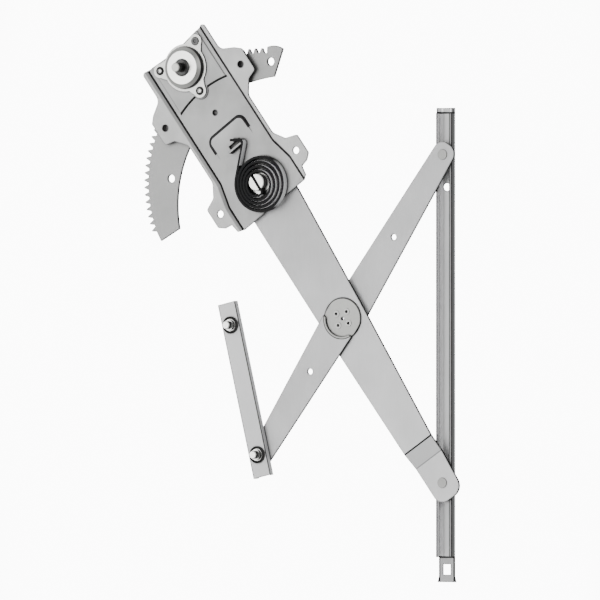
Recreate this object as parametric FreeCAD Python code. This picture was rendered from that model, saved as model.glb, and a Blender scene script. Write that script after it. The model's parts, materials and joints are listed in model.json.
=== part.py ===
import FreeCAD, Part
import math
import os

# Manual window regulator with crossed arms, in millimetres.
#
# The plan is drawn flat with the main pivot at the middle: x runs along the door, y is the way the
# glass is lifted and z points at the cabin. The last step stands the plan up, so the finished part has
# X along the door, Y into the door and Z up, with the middle of the four mounting holes at zero and
# the mounting face on Y = 0.

# Sheet gauges and running gaps
plate_gauge = 2.0
gear_gauge = 3.0
lift_arm_gauge = 3.0
balance_arm_gauge = 2.5
rail_gauge = 1.2
running_gap = 0.5
arm_gap = 0.6
rail_gap = 0.5
shaft_fit = 0.05
seat_fit = 0.02
spring_clearance = 0.3
end_play = 0.05

# Overshoot of the cutting shapes, just past a face and right through everything
cut_margin = 1.0
through = 150.0

# Mounting plate, along its own axis u and across it v, with the main pivot at u = 0
plate_tilt = 36.2
hole_square = 107.5
ear_hole_radius = 3.6
recess_depth = 3.5
step_run = 3.8
plate_top = -167.0
plate_bottom = 28.0
panel_half_width = 36.0
panel_half_width_low = 42.0
panel_widens_from = -25.0
panel_widens_to = 0.0
panel_bend = 14.0
strip_half_width = 43.5
strip_half_width_low = 48.3
strip_waist = 0.8
strip_round_radius = 3.4
strip_end_corner = 1.5
ear_half_width = 64.0
upper_ear_top = -120.0
upper_ear_bottom = -93.5
lower_ear_top = -12.5
lower_ear_bottom = 15.0
ear_fillet = 9.0
ear_corner = 3.0
ear_root_radius = 5.0
ear_shoulder = 6.0
ear_shoulder_share = 0.7
ear_root_share = 0.46
upper_ear_lead = 14.5
upper_ear_root = 3.0
upper_ear_tail = 16.0
lower_ear_lead = 18.0
lower_ear_root = 5.0
lower_ear_root_share = 0.37
lower_ear_shoulder_share = 0.62
lower_ear_foot_radius = 2.0
pad_raise = 1.0
pad_radius = 114.0
pad_half_width = 32.0
pad_margin = 1.5
locating_hole_at = -87.0
locating_hole_radius = 3.0
ramp_top = -68.3
ramp_foot = -44.0
ramp_half_width = 23.0
ramp_raise = 1.6
ramp_corner = 7.0
ramp_crest = 4.0
tab_at = -42.8
tab_low_side = -8.4
tab_high_side = 8.7
tab_thickness = 2.0
tab_height = 6.5
tab_window_length = 6.0
tab_window_margin = 1.0

# Arms and their pivots
arm_angle = 34.0
pivot_to_centre = 164.6
centre_to_roller = 197.0
lift_arm_back = 46.0
lift_arm_half_width_back = 31.0
lift_arm_half_width_centre = 25.2
lift_arm_half_width_fold = 18.0
lift_arm_end_radius = 15.5
lift_arm_end_margin = 2.5
lift_arm_end_corner = 12.0
lift_arm_tail_share = 0.72
lift_arm_tail_corner = 12.0
lift_arm_hip_corner = 14.0
lift_arm_hip_end = 28.0
lift_arm_hip_taper = 1.0
lift_arm_bend = 60.0
lift_arm_long_bend = 400.0
fold_start = 316.5
fold_end = 334.0
rear_half_gap = 2.4
balance_half_width = 19.6
balance_end_half_width = 12.0
balance_end_taper = 0.3
balance_end_corner = 10.2
balance_long_bend = 300.0
boss_radius = 20.75
boss_fit = 0.3
boss_step_back = 9.0
boss_overlap = 5.0
centre_rivet_circle = 8.4
centre_rivet_radius = 2.6
centre_rivet_bore = 1.6
centre_rivet_lip = 0.7
centre_rivet_head = 0.4
pilot_hole_radius = 1.6
arm_hole_radius = 3.0
arm_hole_out = 98.0
arm_hole_in = 64.0

# Gear pair
module = 2.35
sector_whole_teeth = 113
sector_teeth = 36
pinion_teeth = 9
pressure_angle = 25.0
pinion_shift = 0.30
backlash = 0.30
sector_tip_radius = 134.6
tip_clearance = 0.35
pinion_tip_radius = 13.2
pinion_overrun = 0.6
pinion_overlap = 0.4
tooth_root_depth = 1.5
teeth_before_mesh = 11.5
blank_gap_teeth = 0.8
tail_gap_teeth = 0.5
tail_inner_radius = 104.8
blank_inner_radius = 106.8
sector_blank_end = 7.6
sector_blank_radius = 138.0
blank_corner_drop = 2.0
blank_crest_lead = 4.0
blank_edge_lean = 2.5
blank_middle_at = 9.0
blank_middle_sag = 5.5
blank_web_at = 20.0
blank_web_sag = 8.0
sector_tail = 4.2
tail_edge_lean = 0.7
tail_corner_drop = 0.5
tail_middle_at = 26.0
tail_middle_sag = 11.5
tail_web_at = 47.0
tail_web_sag = 15.5
sector_web_half_width = 27.0
sector_web_spread = 8.0
sector_web_waist = 40.0
sector_web_bend = 30.0
sector_hub_end = 16.0
sector_hub_half_width = 22.0
sector_hub_corner = 18.0
sector_hole_radius = 4.0
tail_hole_at = 103.5
tail_hole_back = 25.0
blank_hole_at = 121.5
blank_hole_share = 0.7

# Pivot stud and bush
stud_head_radius = 8.65
stud_shank_radius = 7.0
stud_top = 4.2
stud_head_edge = 0.8
stud_rear_radius = 9.0
stud_rear_height = 2.0
stud_rear_bevel = 1.5
stud_rear_edge_share = 0.6
bush_wall = 2.0
bush_flange_radius = 15.0
bush_flange = 0.4
pivot_washer_radius = 11.5
pivot_washer_gauge = 0.5
sector_rivets_at = ((-32.0, 15.0), (11.0, 15.0))
sector_rivet_radius = 4.0
sector_rivet_head_radius = 6.5
sector_rivet_head = 1.2
sector_rivet_round = 0.6
sector_rivet_sink = 0.1

# Counterbalance spring
strip_gauge = 2.6
strip_height = 6.6
strip_base = -2.8
coil_shift = 3.0
inner_tight = 12.9
inner_open = 14.2
tight_pitch = 3.125
open_pitch = 5.03
coil_turns = 4
tang_back = 7.0
strip_bend = 3.0
hook_at_u = -43.3
hook_at_v = 12.8
hook_leg = 15.0
hook_leg_angle = 234.0

# Crank and its housing
flange_gauge = 1.5
flange_radius = 24.0
flange_neck_share = 0.8
lobe_radius = 7.0
lobe_circle = 29.0
housing_rivet_radius = 2.4
housing_rivet_head_radius = 4.2
housing_rivet_head = 1.1
housing_rivet_round = 0.6
housing_rivet_dimple_radius = 1.8
housing_rivet_dimple_floor = 0.3
housing_rivet_tail = 0.6
housing_rivet_tail_lip = 0.8
cup_radius = 21.4
cup_shoulder = 20.6
cup_top_radius = 16.8
cup_height = 6.5
cup_wall = 1.5
cup_root = 0.6
cup_crown = 2.2
cup_crown_inside = 3.4
collar_radius = 8.7
collar_height = 1.6
collar_bevel = 1.4
collar_edge_share = 0.5
collar_seat_inset = 1.5
collar_seat_depth = 1.2
shaft_radius = 4.75
shaft_top = 19.0
shaft_chamfer = 0.9
shaft_foot = 0.8
shaft_foot_lip = 1.2
serration_count = 24
serration_depth = 0.45
serration_length = 9.0
serration_outside = 0.2
clip_groove = 1.0
clip_groove_at = 2.0
core_radius = 12.0
core_height = 4.6
core_lug_half_width = 3.0
core_lug_root = 2.0
core_lug_gap = 1.2
brake_gap = 0.4
brake_wall_gap = 0.25
brake_spring_lift = 0.1
brake_tang_inset = 0.2
brake_spring_gauge = 1.6
brake_spring_height = 4.0
brake_spring_gap = 40.0
brake_tang_reach = 3.2
plate_bore_radius = 14.6
hub_radius = 8.0
thrust_washer_gauge = 0.8
thrust_washer_gap = 1.6

# Glass rail and its rollers
rail_half_width = 9.0
rail_depth = 7.4
rail_lip = 3.3
rail_lip_setback = 5.0
rail_start = -73.4
rail_end = 398.9
rail_lips_end = 373.9
rail_hole_at = 5.5
rail_hole_radius = 3.75
rail_slot_at = 386.2
rail_slot_half_width = 4.1
rail_slot_half_length = 5.1
rail_end_flare = 1.5
rail_flare_length = 6.0
tongue_overlap = 2.0
roller_clearance = 0.35
roller_neck_radius = 4.4
roller_round = 0.8
stud_head_height = 0.8
roller_stud_head_radius = 5.0
roller_stud_radius = 3.2
roller_end_gap = 0.45
stud_cap = 0.6
stud_cap_lip = 1.4

# Guide rail, along its own axis from the lower roller
guide_tilt = 13.3
guide_half_width = 9.9
guide_depth = 6.5
guide_lip = 3.2
guide_length = 179.0
guide_overhang = 22.8
guide_stud_spacing = 133.5
guide_stud_radius = 4.0
guide_stud_length = 9.0
guide_tenon_radius = 3.2
guide_collar_radius = 8.7
guide_collar_height = 1.6
guide_pad_radius = 5.2
guide_pad_height = 2.8
guide_collar_round = 0.5
guide_stud_chamfer = 0.7

# Heights of the stacked layers
panel_front = -recess_depth
panel_rear = panel_front - plate_gauge
gear_front = panel_rear - running_gap
gear_rear = gear_front - gear_gauge
lift_rear = gear_rear - lift_arm_gauge
half_meeting = gear_rear - lift_arm_gauge / 2
front_half_rear = gear_rear + arm_gap
front_half_front = front_half_rear + balance_arm_gauge
rear_half_front = lift_rear - rear_half_gap
rear_half_rear = rear_half_front - balance_arm_gauge
fold_depth = lift_rear - rear_half_rear
rail_front = rear_half_rear - rail_gap
rail_rear = rail_front - rail_depth
guide_rear = front_half_front + arm_gap
guide_front = guide_rear + guide_depth
pad_front = panel_front + pad_raise
flange_front = pad_front + flange_gauge
cup_top = flange_front + cup_height

# Places worked out from the sizes above
centre_distance = module * (sector_whole_teeth + pinion_teeth) / 2
rise = math.sin(math.radians(arm_angle))
run = math.cos(math.radians(arm_angle))
centre_x = pivot_to_centre * run
centre_y = pivot_to_centre * rise
lift_roller_x = centre_x + centre_to_roller * run
rail_y = centre_y + centre_to_roller * rise
upper_roller_x = centre_x - centre_to_roller * run
lower_roller_x = 2 * centre_x
lift_roller_reach = pivot_to_centre + centre_to_roller
rail_roller_radius = rail_half_width - rail_gauge - roller_clearance
guide_roller_radius = guide_half_width - rail_gauge - roller_clearance


def point(x, y, z=0.0):
    return FreeCAD.Vector(x, y, z)


def polar(radius, degrees):
    """A point of the plan, by its distance and direction."""
    return point(radius * math.cos(math.radians(degrees)), radius * math.sin(math.radians(degrees)))


def line(start, end):
    return Part.LineSegment(start, end).toShape()


def arc(start, middle, end):
    return Part.Arc(start, middle, end).toShape()


def rounded(corners):
    """A closed outline through (x, y, radius) corners, each rounded by a tangent arc of its radius."""
    count = len(corners)
    starts = []
    ends = []
    middles = []
    for i in range(count):
        here = point(corners[i][0], corners[i][1])
        before = point(corners[i - 1][0], corners[i - 1][1])
        after = point(corners[(i + 1) % count][0], corners[(i + 1) % count][1])
        into = (here - before).normalize()
        out = (after - here).normalize()
        turn = into.getAngle(out)
        radius = corners[i][2]
        trim = radius * math.tan(turn / 2)
        starts.append(here - into * trim)
        ends.append(here + out * trim)
        if radius:
            inward = (out - into).normalize()
            middles.append(here + inward * (radius / math.cos(turn / 2) - radius))
        else:
            middles.append(None)
    edges = []
    for i in range(count):
        if middles[i] is not None:
            edges.append(arc(starts[i], middles[i], ends[i]))
        following = starts[(i + 1) % count]
        if ends[i].distanceToPoint(following) > 1e-6:
            edges.append(line(ends[i], following))
    return Part.Wire(edges)


def slab(wire, low, high):
    """The flat outline carried from one height to another."""
    solid = Part.Face(wire).extrude(point(0, 0, high - low))
    solid.translate(point(0, 0, low))
    return solid


def box(x0, x1, y0, y1, low, high):
    return Part.makeBox(x1 - x0, y1 - y0, high - low, point(x0, y0, low))


def disc(radius, low, high, at=None):
    centre = at or point(0, 0)
    return Part.makeCylinder(radius, high - low, point(centre.x, centre.y, low))


def bore(radius, at=None):
    """The cutting shape of a round hole right through every layer."""
    return disc(radius, -through, through, at)


def tube(outer, inner, low, high, at=None):
    return disc(outer, low, high, at).cut(bore(inner, at))


def turned(profile):
    """A solid turned about the z axis from (radius, height) corners."""
    corners = [point(r, 0, z) for r, z in profile]
    face = Part.Face(Part.makePolygon(corners + corners[:1]))
    return face.revolve(point(0, 0), point(0, 0, 1), 360)


def spun(shape, degrees, about=None):
    """A copy turned about an upright axis."""
    copy = shape.copy()
    copy.rotate(about or point(0, 0), point(0, 0, 1), degrees)
    return copy


def moved(shape, x, y, z=0.0):
    copy = shape.copy()
    copy.translate(point(x, y, z))
    return copy


def fused(shapes):
    """One clean solid from shapes that overlap or share a face."""
    return shapes[0].fuse(list(shapes[1:])).removeSplitter()


def along_plate(shape):
    return spun(shape, plate_tilt)


def along_lift_arm(shape):
    return spun(shape, arm_angle)


def along_balance_arm(shape):
    """From the arm's own axis, which starts at the centre pivot and points at the upper roller."""
    return moved(spun(shape, 180 - arm_angle), centre_x, centre_y)


def along_guide(shape):
    return moved(spun(shape, guide_tilt), lower_roller_x, 0)


# Mounting plate


def plate_outline():
    """One side of the plate as corners, then the same mirrored for the other side."""
    round_radius = strip_round_radius * 0.99
    waist = strip_half_width - strip_waist
    reach = ear_half_width - strip_half_width
    low_reach = ear_half_width - strip_half_width_low
    foot = strip_half_width_low + strip_end_corner
    side = [
        (plate_top, strip_half_width - 2 * strip_round_radius, round_radius),
        (plate_top, strip_half_width, round_radius),
        (upper_ear_top - upper_ear_lead, strip_half_width, ear_fillet),
        (upper_ear_top - ear_shoulder, strip_half_width + reach * ear_shoulder_share, ear_corner),
        (upper_ear_top, ear_half_width, ear_corner),
        (upper_ear_bottom, ear_half_width, ear_corner),
        (upper_ear_bottom + upper_ear_root, strip_half_width + reach * ear_root_share, ear_root_radius),
        (upper_ear_bottom + upper_ear_tail, waist, ear_fillet),
        (lower_ear_top - lower_ear_lead, waist, ear_fillet),
        (lower_ear_top - lower_ear_root, strip_half_width + reach * lower_ear_root_share, ear_root_radius),
        (lower_ear_top, ear_half_width, ear_corner),
        (lower_ear_bottom - lower_ear_root, ear_half_width, ear_corner),
        (lower_ear_bottom, strip_half_width_low + low_reach * lower_ear_shoulder_share, ear_corner),
        (lower_ear_bottom + strip_end_corner, foot, lower_ear_foot_radius),
        (plate_bottom - strip_end_corner, strip_half_width_low, strip_end_corner),
        (plate_bottom, panel_half_width_low, 0),
    ]
    mirrored = [(u, -v, r) for u, v, r in reversed(side)]
    return rounded([(plate_top + strip_round_radius, 0, 0)] + side + mirrored)


def recess_outline(grow):
    """The recessed panel between its two side steps, which spread apart in an S towards the bottom."""
    top = plate_top - through
    bottom = plate_bottom + through
    high = panel_half_width + grow
    low = panel_half_width_low + grow
    side = [
        (top, high, 0),
        (panel_widens_from, high, panel_bend),
        (panel_widens_to, low, panel_bend),
        (bottom, low, 0),
    ]
    return rounded(side + [(u, -v, r) for u, v, r in reversed(side)])


def recess_space(shift, floor, low, high):
    """The room over the sunk panel from one height to another, its sides leaning out from the floor."""
    wires = []
    for height in (low, high):
        wire = recess_outline(shift + step_run * (height - floor) / recess_depth)
        wire.translate(point(0, 0, height))
        wires.append(wire)
    return Part.makeLoft(wires, True, True)


def mounting_plate():
    """Pressed sheet: raised ears and side strips on the door panel, and a panel sunk behind them."""
    blank = slab(plate_outline(), panel_rear, 0)
    sink = recess_space(0, panel_front, panel_front, cut_margin)
    around = slab(plate_outline(), panel_rear - cut_margin, -plate_gauge)
    half_slope = math.atan2(recess_depth, step_run) / 2
    shift = plate_gauge * math.tan(half_slope)
    pressed = recess_space(shift, panel_rear, panel_rear - 2 * cut_margin, cut_margin - plate_gauge)
    around = around.cut(pressed)
    plate = blank.cut(sink).cut(around)

    pad = box(plate_top - cut_margin, -pad_radius / 2, -pad_half_width, pad_half_width, 0, pad_raise)
    pad = pad.cut(bore(pad_radius))
    plate_area = slab(plate_outline(), 0, pad_raise)
    pad = pad.common(plate_area)
    pad = pad.fuse(disc(lobe_radius + pad_margin, 0, pad_raise, housing_rivet_places()[0]))
    plate = plate.fuse(moved(pad, 0, 0, panel_front)).cut(moved(pad, 0, 0, panel_rear))

    outline = [
        (ramp_foot, -ramp_half_width, 0),
        (ramp_top, -ramp_half_width, ramp_corner),
        (ramp_top, ramp_half_width, ramp_corner),
        (ramp_foot, ramp_half_width, 0),
    ]
    slope = [
        point(ramp_top - cut_margin, 0, 0),
        point(ramp_top - cut_margin, 0, ramp_raise),
        point(ramp_top + ramp_crest, 0, ramp_raise),
        point(ramp_foot, 0, 0),
    ]
    wedge = Part.Face(Part.makePolygon(slope + slope[:1])).extrude(point(0, 4 * ramp_half_width, 0))
    wedge.translate(point(0, -2 * ramp_half_width, 0))
    ramp = wedge.common(slab(rounded(outline), -cut_margin, ramp_raise + cut_margin))
    plate = plate.fuse(moved(ramp, 0, 0, panel_front)).cut(moved(ramp, 0, 0, panel_rear))

    window = box(
        tab_at - tab_thickness / 2 - tab_window_length,
        tab_at - tab_thickness / 2,
        tab_low_side + tab_window_margin,
        tab_high_side - tab_window_margin,
        -through,
        through,
    )
    plate = plate.cut(window)
    tab = box(
        tab_at - tab_thickness / 2,
        tab_at + tab_thickness / 2,
        tab_low_side,
        tab_high_side,
        panel_front - plate_gauge / 2,
        panel_front + tab_height,
    )
    plate = plate.fuse(tab)

    half = hole_square / 2
    for u in (-hole_square, 0):
        for v in (-half, half):
            plate = plate.cut(bore(ear_hole_radius, point(u, v)))
    plate = plate.cut(bore(locating_hole_radius, point(locating_hole_at, 0)))
    plate = plate.cut(bore(stud_shank_radius + shaft_fit + bush_wall))
    plate = plate.cut(bore(plate_bore_radius, point(-centre_distance, 0)))
    for place in housing_rivet_places():
        plate = plate.cut(bore(housing_rivet_radius, place))
    return along_plate(plate.removeSplitter())


# Crank housing


def housing_rivet_places():
    """Three rivets round the crank axis, one of them towards the main pivot."""
    return [polar(lobe_circle, 120 * k) - point(centre_distance, 0) for k in range(3)]


def pinion_housing():
    """Pressed cup with a three-lobed flange riveted on the raised pad of the plate."""
    flange = disc(flange_radius, pad_front, flange_front)
    for k in range(3):
        lobe = disc(lobe_radius, pad_front, flange_front, polar(lobe_circle, 0))
        neck = [
            (0, -flange_radius * flange_neck_share, 0),
            (lobe_circle, -lobe_radius, 0),
            (lobe_circle, lobe_radius, 0),
            (0, flange_radius * flange_neck_share, 0),
        ]
        arm = slab(rounded(neck), pad_front, flange_front)
        flange = flange.fuse([spun(lobe, 120 * k), spun(arm, 120 * k)])
    cup = turned(
        [
            (0, pad_front),
            (cup_radius, pad_front),
            (cup_radius, flange_front + cup_root),
            (cup_shoulder, cup_top - cup_crown),
            (cup_top_radius, cup_top),
            (0, cup_top),
        ]
    )
    inside = turned(
        [
            (0, pad_front - cut_margin),
            (cup_radius - cup_wall, pad_front - cut_margin),
            (cup_radius - cup_wall, cup_top - cup_crown_inside),
            (cup_top_radius - cup_wall, cup_top - cup_wall),
            (0, cup_top - cup_wall),
        ]
    )
    housing = flange.fuse(cup).cut(inside).cut(bore(collar_radius - collar_seat_inset))
    housing = moved(housing, -centre_distance, 0)
    for place in housing_rivet_places():
        housing = housing.cut(bore(housing_rivet_radius, place))
    return along_plate(housing.removeSplitter())


def housing_rivets():
    """Three rivets through the flange and the plate, headed on both sides."""
    rivets = []
    pad_rear = pad_front - plate_gauge
    for place in housing_rivet_places():
        shank = disc(housing_rivet_radius - seat_fit, pad_rear, flange_front, place)
        head = disc(housing_rivet_head_radius, flange_front, flange_front + housing_rivet_head, place)
        head = head.makeFillet(housing_rivet_round, [head.Edges[0]])
        floor = flange_front + housing_rivet_dimple_floor
        dimple = disc(housing_rivet_dimple_radius, floor, through, place)
        tail_radius = housing_rivet_radius + housing_rivet_tail_lip
        tail = disc(tail_radius, pad_rear - housing_rivet_tail, pad_rear, place)
        rivets.append(along_plate(fused([shank, head, tail]).cut(dimple)))
    return Part.makeCompound(rivets)


def shaft_bush():
    """Dark collar seated in the mouth of the cup, in which the crank shaft turns."""
    seat = collar_radius - collar_seat_inset - seat_fit
    foot = cup_top - cup_wall - collar_seat_depth
    bush = turned(
        [
            (shaft_radius + shaft_fit, foot),
            (seat, foot),
            (seat, cup_top),
            (collar_radius, cup_top),
            (collar_radius, cup_top + collar_height * collar_edge_share),
            (collar_radius - collar_bevel, cup_top + collar_height),
            (shaft_radius + shaft_fit, cup_top + collar_height),
        ]
    )
    return along_plate(moved(bush, -centre_distance, 0))


# Crank shaft, brake and pinion


def on_crank_axis(shape):
    return along_plate(moved(shape, -centre_distance, 0))


def crank_shaft():
    """Shaft with a serrated end for the crank handle and a groove for its clip."""
    low = gear_rear - pinion_overrun
    shaft = turned(
        [
            (0, low - shaft_foot),
            (shaft_radius + shaft_foot_lip, low - shaft_foot),
            (shaft_radius + shaft_foot_lip, low),
            (shaft_radius, low),
            (shaft_radius, shaft_top - shaft_chamfer),
            (shaft_radius - shaft_chamfer, shaft_top),
            (0, shaft_top),
        ]
    )
    step = 360.0 / serration_count
    base = shaft_top - serration_length
    for k in range(serration_count):
        notch = [
            polar(shaft_radius + serration_outside, step * (k - 0.5)),
            polar(shaft_radius - serration_depth, step * k),
            polar(shaft_radius + serration_outside, step * (k + 0.5)),
        ]
        wire = Part.makePolygon(notch + notch[:1])
        shaft = shaft.cut(slab(wire, base, shaft_top + cut_margin))
    foot = base + clip_groove_at
    groove = tube(shaft_radius + cut_margin, shaft_radius - 2 * serration_depth, foot, foot + clip_groove)
    return on_crank_axis(shaft.cut(groove))


def brake_low():
    return pad_front + brake_gap


def drive_core():
    """Core on the shaft, with a lug that turns the two ends of the brake spring."""
    low = brake_low()
    core = tube(core_radius, shaft_radius + seat_fit, low, low + core_height)
    reach = cup_radius - cup_wall - brake_spring_gauge - core_lug_gap
    root = core_radius - core_lug_root
    lug = box(root, reach, -core_lug_half_width, core_lug_half_width, low, low + core_height)
    return on_crank_axis(core.fuse(lug).removeSplitter())


def brake_spring():
    """Flat wrap spring against the wall of the cup, its two ends turned in beside the lug."""
    low = brake_low() + brake_spring_lift
    outer = cup_radius - cup_wall - brake_wall_gap
    ring = tube(outer, outer - brake_spring_gauge, low, low + brake_spring_height)
    half = brake_spring_gap / 2
    opening = [point(0, 0), polar(2 * outer, -half), polar(2 * outer, half)]
    ring = ring.cut(slab(Part.makePolygon(opening + opening[:1]), -through, through))
    for side in (-1, 1):
        tang = box(
            outer - brake_spring_gauge - brake_tang_reach,
            outer - brake_tang_inset,
            0,
            brake_spring_gauge,
            low,
            low + brake_spring_height,
        )
        if side < 0:
            tang = moved(tang, 0, -brake_spring_gauge)
        ring = ring.fuse(spun(tang, side * half))
    return on_crank_axis(ring.removeSplitter())


def thrust_washer():
    """Washer between the brake core and the pinion, in the bore of the plate."""
    high = brake_low()
    outer = plate_bore_radius - thrust_washer_gap
    return on_crank_axis(tube(outer, shaft_radius + seat_fit, high - thrust_washer_gauge, high))


# Gear teeth


def involute_angle(base_radius, radius):
    """Angle between an involute's foot on its base circle and the point at this radius."""
    pressure = math.acos(min(1.0, base_radius / radius))
    return math.tan(pressure) - pressure


def tooth(pitch_radius, tip_radius, root_radius, thickness, steps=4):
    """One tooth standing along the x axis, its flanks involutes from root to tip."""
    base_radius = pitch_radius * math.cos(math.radians(pressure_angle))
    at_pitch = thickness / (2 * pitch_radius) + involute_angle(base_radius, pitch_radius)
    foot = max(base_radius, root_radius)
    flank = []
    for k in range(steps + 1):
        radius = foot + (tip_radius - foot) * k / steps
        half = at_pitch - involute_angle(base_radius, radius)
        flank.append(polar(radius, math.degrees(half)))
    foot_half = at_pitch - involute_angle(base_radius, foot)
    inner = polar(root_radius - tooth_root_depth, math.degrees(foot_half))
    mirror = [point(p.x, -p.y) for p in reversed(flank)]
    upper = Part.BSplineCurve()
    upper.interpolate(flank)
    lower = Part.BSplineCurve()
    lower.interpolate(mirror)
    edges = [
        line(inner, flank[0]),
        upper.toShape(),
        arc(flank[-1], point(tip_radius, 0), mirror[0]),
        lower.toShape(),
        line(mirror[-1], point(inner.x, -inner.y)),
        line(point(inner.x, -inner.y), inner),
    ]
    return Part.Wire(edges)


pinion_pitch_radius = module * pinion_teeth / 2
sector_pitch_radius = module * sector_whole_teeth / 2
pinion_thickness = module * (math.pi / 2 + 2 * pinion_shift * math.tan(math.radians(pressure_angle)))
sector_thickness = module * math.pi - pinion_thickness - backlash
pinion_root_radius = centre_distance - sector_tip_radius - tip_clearance
sector_root_radius = centre_distance - pinion_tip_radius - tip_clearance
tooth_step = 360.0 / sector_whole_teeth


def pinion_gear():
    """Nine-tooth pinion, one tooth pointing at the main pivot, with a hub up to the brake core."""
    low = gear_rear - pinion_overrun
    high = gear_front + pinion_overlap
    wheel = disc(pinion_root_radius, low, high)
    shape = tooth(pinion_pitch_radius, pinion_tip_radius, pinion_root_radius, pinion_thickness)
    teeth = [spun(slab(shape, low, high), 360.0 * k / pinion_teeth) for k in range(pinion_teeth)]
    hub = disc(hub_radius, high, brake_low() - thrust_washer_gauge)
    gear = wheel.fuse(teeth + [hub]).removeSplitter()
    return on_crank_axis(gear.cut(bore(shaft_radius + seat_fit)))


def first_tooth():
    """Direction of the sector's first tooth, with a space on the line between the two gear axes."""
    return 180 + plate_tilt - teeth_before_mesh * tooth_step


def sector_gear():
    """Toothed sector: a band of teeth, a plain end, a tail and a web that carries it at the pivot."""
    start = first_tooth()
    end = start + (sector_teeth - 1) * tooth_step
    blank = start - blank_gap_teeth * tooth_step
    blank_end = blank - sector_blank_end
    tail = end + tail_gap_teeth * tooth_step
    root = [polar(sector_root_radius, angle) for angle in (blank, (start + end) / 2, tail)]
    tail_corner = polar(sector_root_radius - tail_corner_drop, tail + sector_tail)
    tail_edge = polar(tail_inner_radius, tail + sector_tail - tail_edge_lean)
    tail_middle = polar(tail_inner_radius - tail_middle_sag, tail - tail_middle_at)
    tail_web = polar(tail_inner_radius - tail_web_sag, tail - tail_web_at)
    blank_web = polar(blank_inner_radius - blank_web_sag, blank + blank_web_at)
    blank_middle = polar(blank_inner_radius - blank_middle_sag, blank + blank_middle_at)
    blank_edge = polar(blank_inner_radius, blank_end + blank_edge_lean)
    crest = [
        polar(sector_blank_radius - blank_corner_drop, blank_end),
        polar(sector_blank_radius, blank_end + blank_crest_lead),
        polar(sector_blank_radius - blank_corner_drop, blank),
    ]
    edges = [
        arc(*root),
        line(root[2], tail_corner),
        line(tail_corner, tail_edge),
        arc(tail_edge, tail_middle, tail_web),
        line(tail_web, blank_web),
        arc(blank_web, blank_middle, blank_edge),
        line(blank_edge, crest[0]),
        arc(*crest),
        line(crest[2], root[0]),
    ]
    band = slab(Part.Wire(edges), gear_rear, gear_front)
    outline = [
        (sector_hub_end, -sector_hub_half_width, sector_hub_corner),
        (sector_hub_end, sector_hub_half_width, sector_hub_corner),
        (-sector_web_waist, sector_web_half_width, sector_web_bend),
        (-tail_inner_radius, sector_web_half_width + sector_web_spread, 0),
        (-tail_inner_radius, -sector_web_half_width - sector_web_spread, 0),
        (-sector_web_waist, -sector_web_half_width, sector_web_bend),
    ]
    web = spun(slab(rounded(outline), gear_rear, gear_front), plate_tilt)
    shape = tooth(sector_pitch_radius, sector_tip_radius, sector_root_radius, sector_thickness)
    one = slab(shape, gear_rear, gear_front)
    teeth = [spun(one, start + tooth_step * k) for k in range(sector_teeth)]
    sector = band.fuse([web] + teeth).removeSplitter()
    sector = sector.cut(bore(sector_hole_radius, polar(tail_hole_at, tail - tail_hole_back)))
    blank_hole = polar(blank_hole_at, blank_end + sector_blank_end * blank_hole_share)
    sector = sector.cut(bore(sector_hole_radius, blank_hole))
    sector = sector.cut(bore(stud_shank_radius + seat_fit))
    for place in sector_rivet_places():
        sector = sector.cut(bore(sector_rivet_radius, place))
    return sector


# Lift arm


def sector_rivet_places():
    """Four rivets that hold the sector on the lift arm, two each side of the pivot."""
    places = [point(x, side * y) for x, y in sector_rivets_at for side in (-1, 1)]
    turn = FreeCAD.Rotation(point(0, 0, 1), arm_angle)
    return [turn.multVec(p) for p in places]


def lift_arm_side_view(gauge_low, gauge_high):
    """Section along the arm: level, then folded back to the rail between the two fold lines."""
    far = lift_roller_reach + through
    return [
        point(-lift_arm_back - cut_margin, 0, gauge_low),
        point(-lift_arm_back - cut_margin, 0, gauge_high),
        point(fold_start, 0, gauge_high),
        point(fold_end, 0, gauge_high - fold_depth),
        point(far, 0, gauge_high - fold_depth),
        point(far, 0, gauge_low - fold_depth),
        point(fold_end, 0, gauge_low - fold_depth),
        point(fold_start, 0, gauge_low),
    ]


def lift_arm():
    """Tapered arm, folded back near its end, with the large hole of the centre pivot."""
    corners = lift_arm_side_view(lift_rear, gear_rear)
    sheet = Part.Face(Part.makePolygon(corners + corners[:1])).extrude(point(0, 2 * through, 0))
    sheet.translate(point(0, -through, 0))
    tip = lift_roller_reach + lift_arm_end_radius + lift_arm_end_margin
    side = [
        (-lift_arm_back, lift_arm_half_width_back * lift_arm_tail_share, lift_arm_tail_corner),
        (-lift_arm_back / 2, lift_arm_half_width_back, lift_arm_hip_corner),
        (lift_arm_hip_end, lift_arm_half_width_back - lift_arm_hip_taper, lift_arm_bend),
        (pivot_to_centre, lift_arm_half_width_centre, lift_arm_long_bend),
        (fold_start, lift_arm_half_width_fold, lift_arm_bend),
        (tip, lift_arm_end_radius, lift_arm_end_corner),
    ]
    outline = rounded(side + [(x, -y, r) for x, y, r in reversed(side)])
    arm = sheet.common(slab(outline, -through, through))
    arm = arm.cut(bore(boss_radius + boss_fit, point(pivot_to_centre, 0)))
    arm = arm.cut(bore(stud_shank_radius + seat_fit))
    arm = arm.cut(bore(roller_stud_radius, point(lift_roller_reach, 0)))
    arm = along_lift_arm(arm)
    for place in sector_rivet_places():
        arm = arm.cut(bore(sector_rivet_radius, place))
    return arm


def sector_rivets():
    """Rivets flush at the front, where the plate runs close, and headed at the back."""
    rivets = []
    for place in sector_rivet_places():
        shank = disc(sector_rivet_radius - seat_fit, lift_rear, gear_front - sector_rivet_sink, place)
        head = disc(sector_rivet_head_radius, lift_rear - sector_rivet_head, lift_rear, place)
        head = head.makeFillet(sector_rivet_round, [head.Edges[2]])
        rivets.append(shank.fuse(head).removeSplitter())
    return Part.makeCompound(rivets)


# Main pivot


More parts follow.
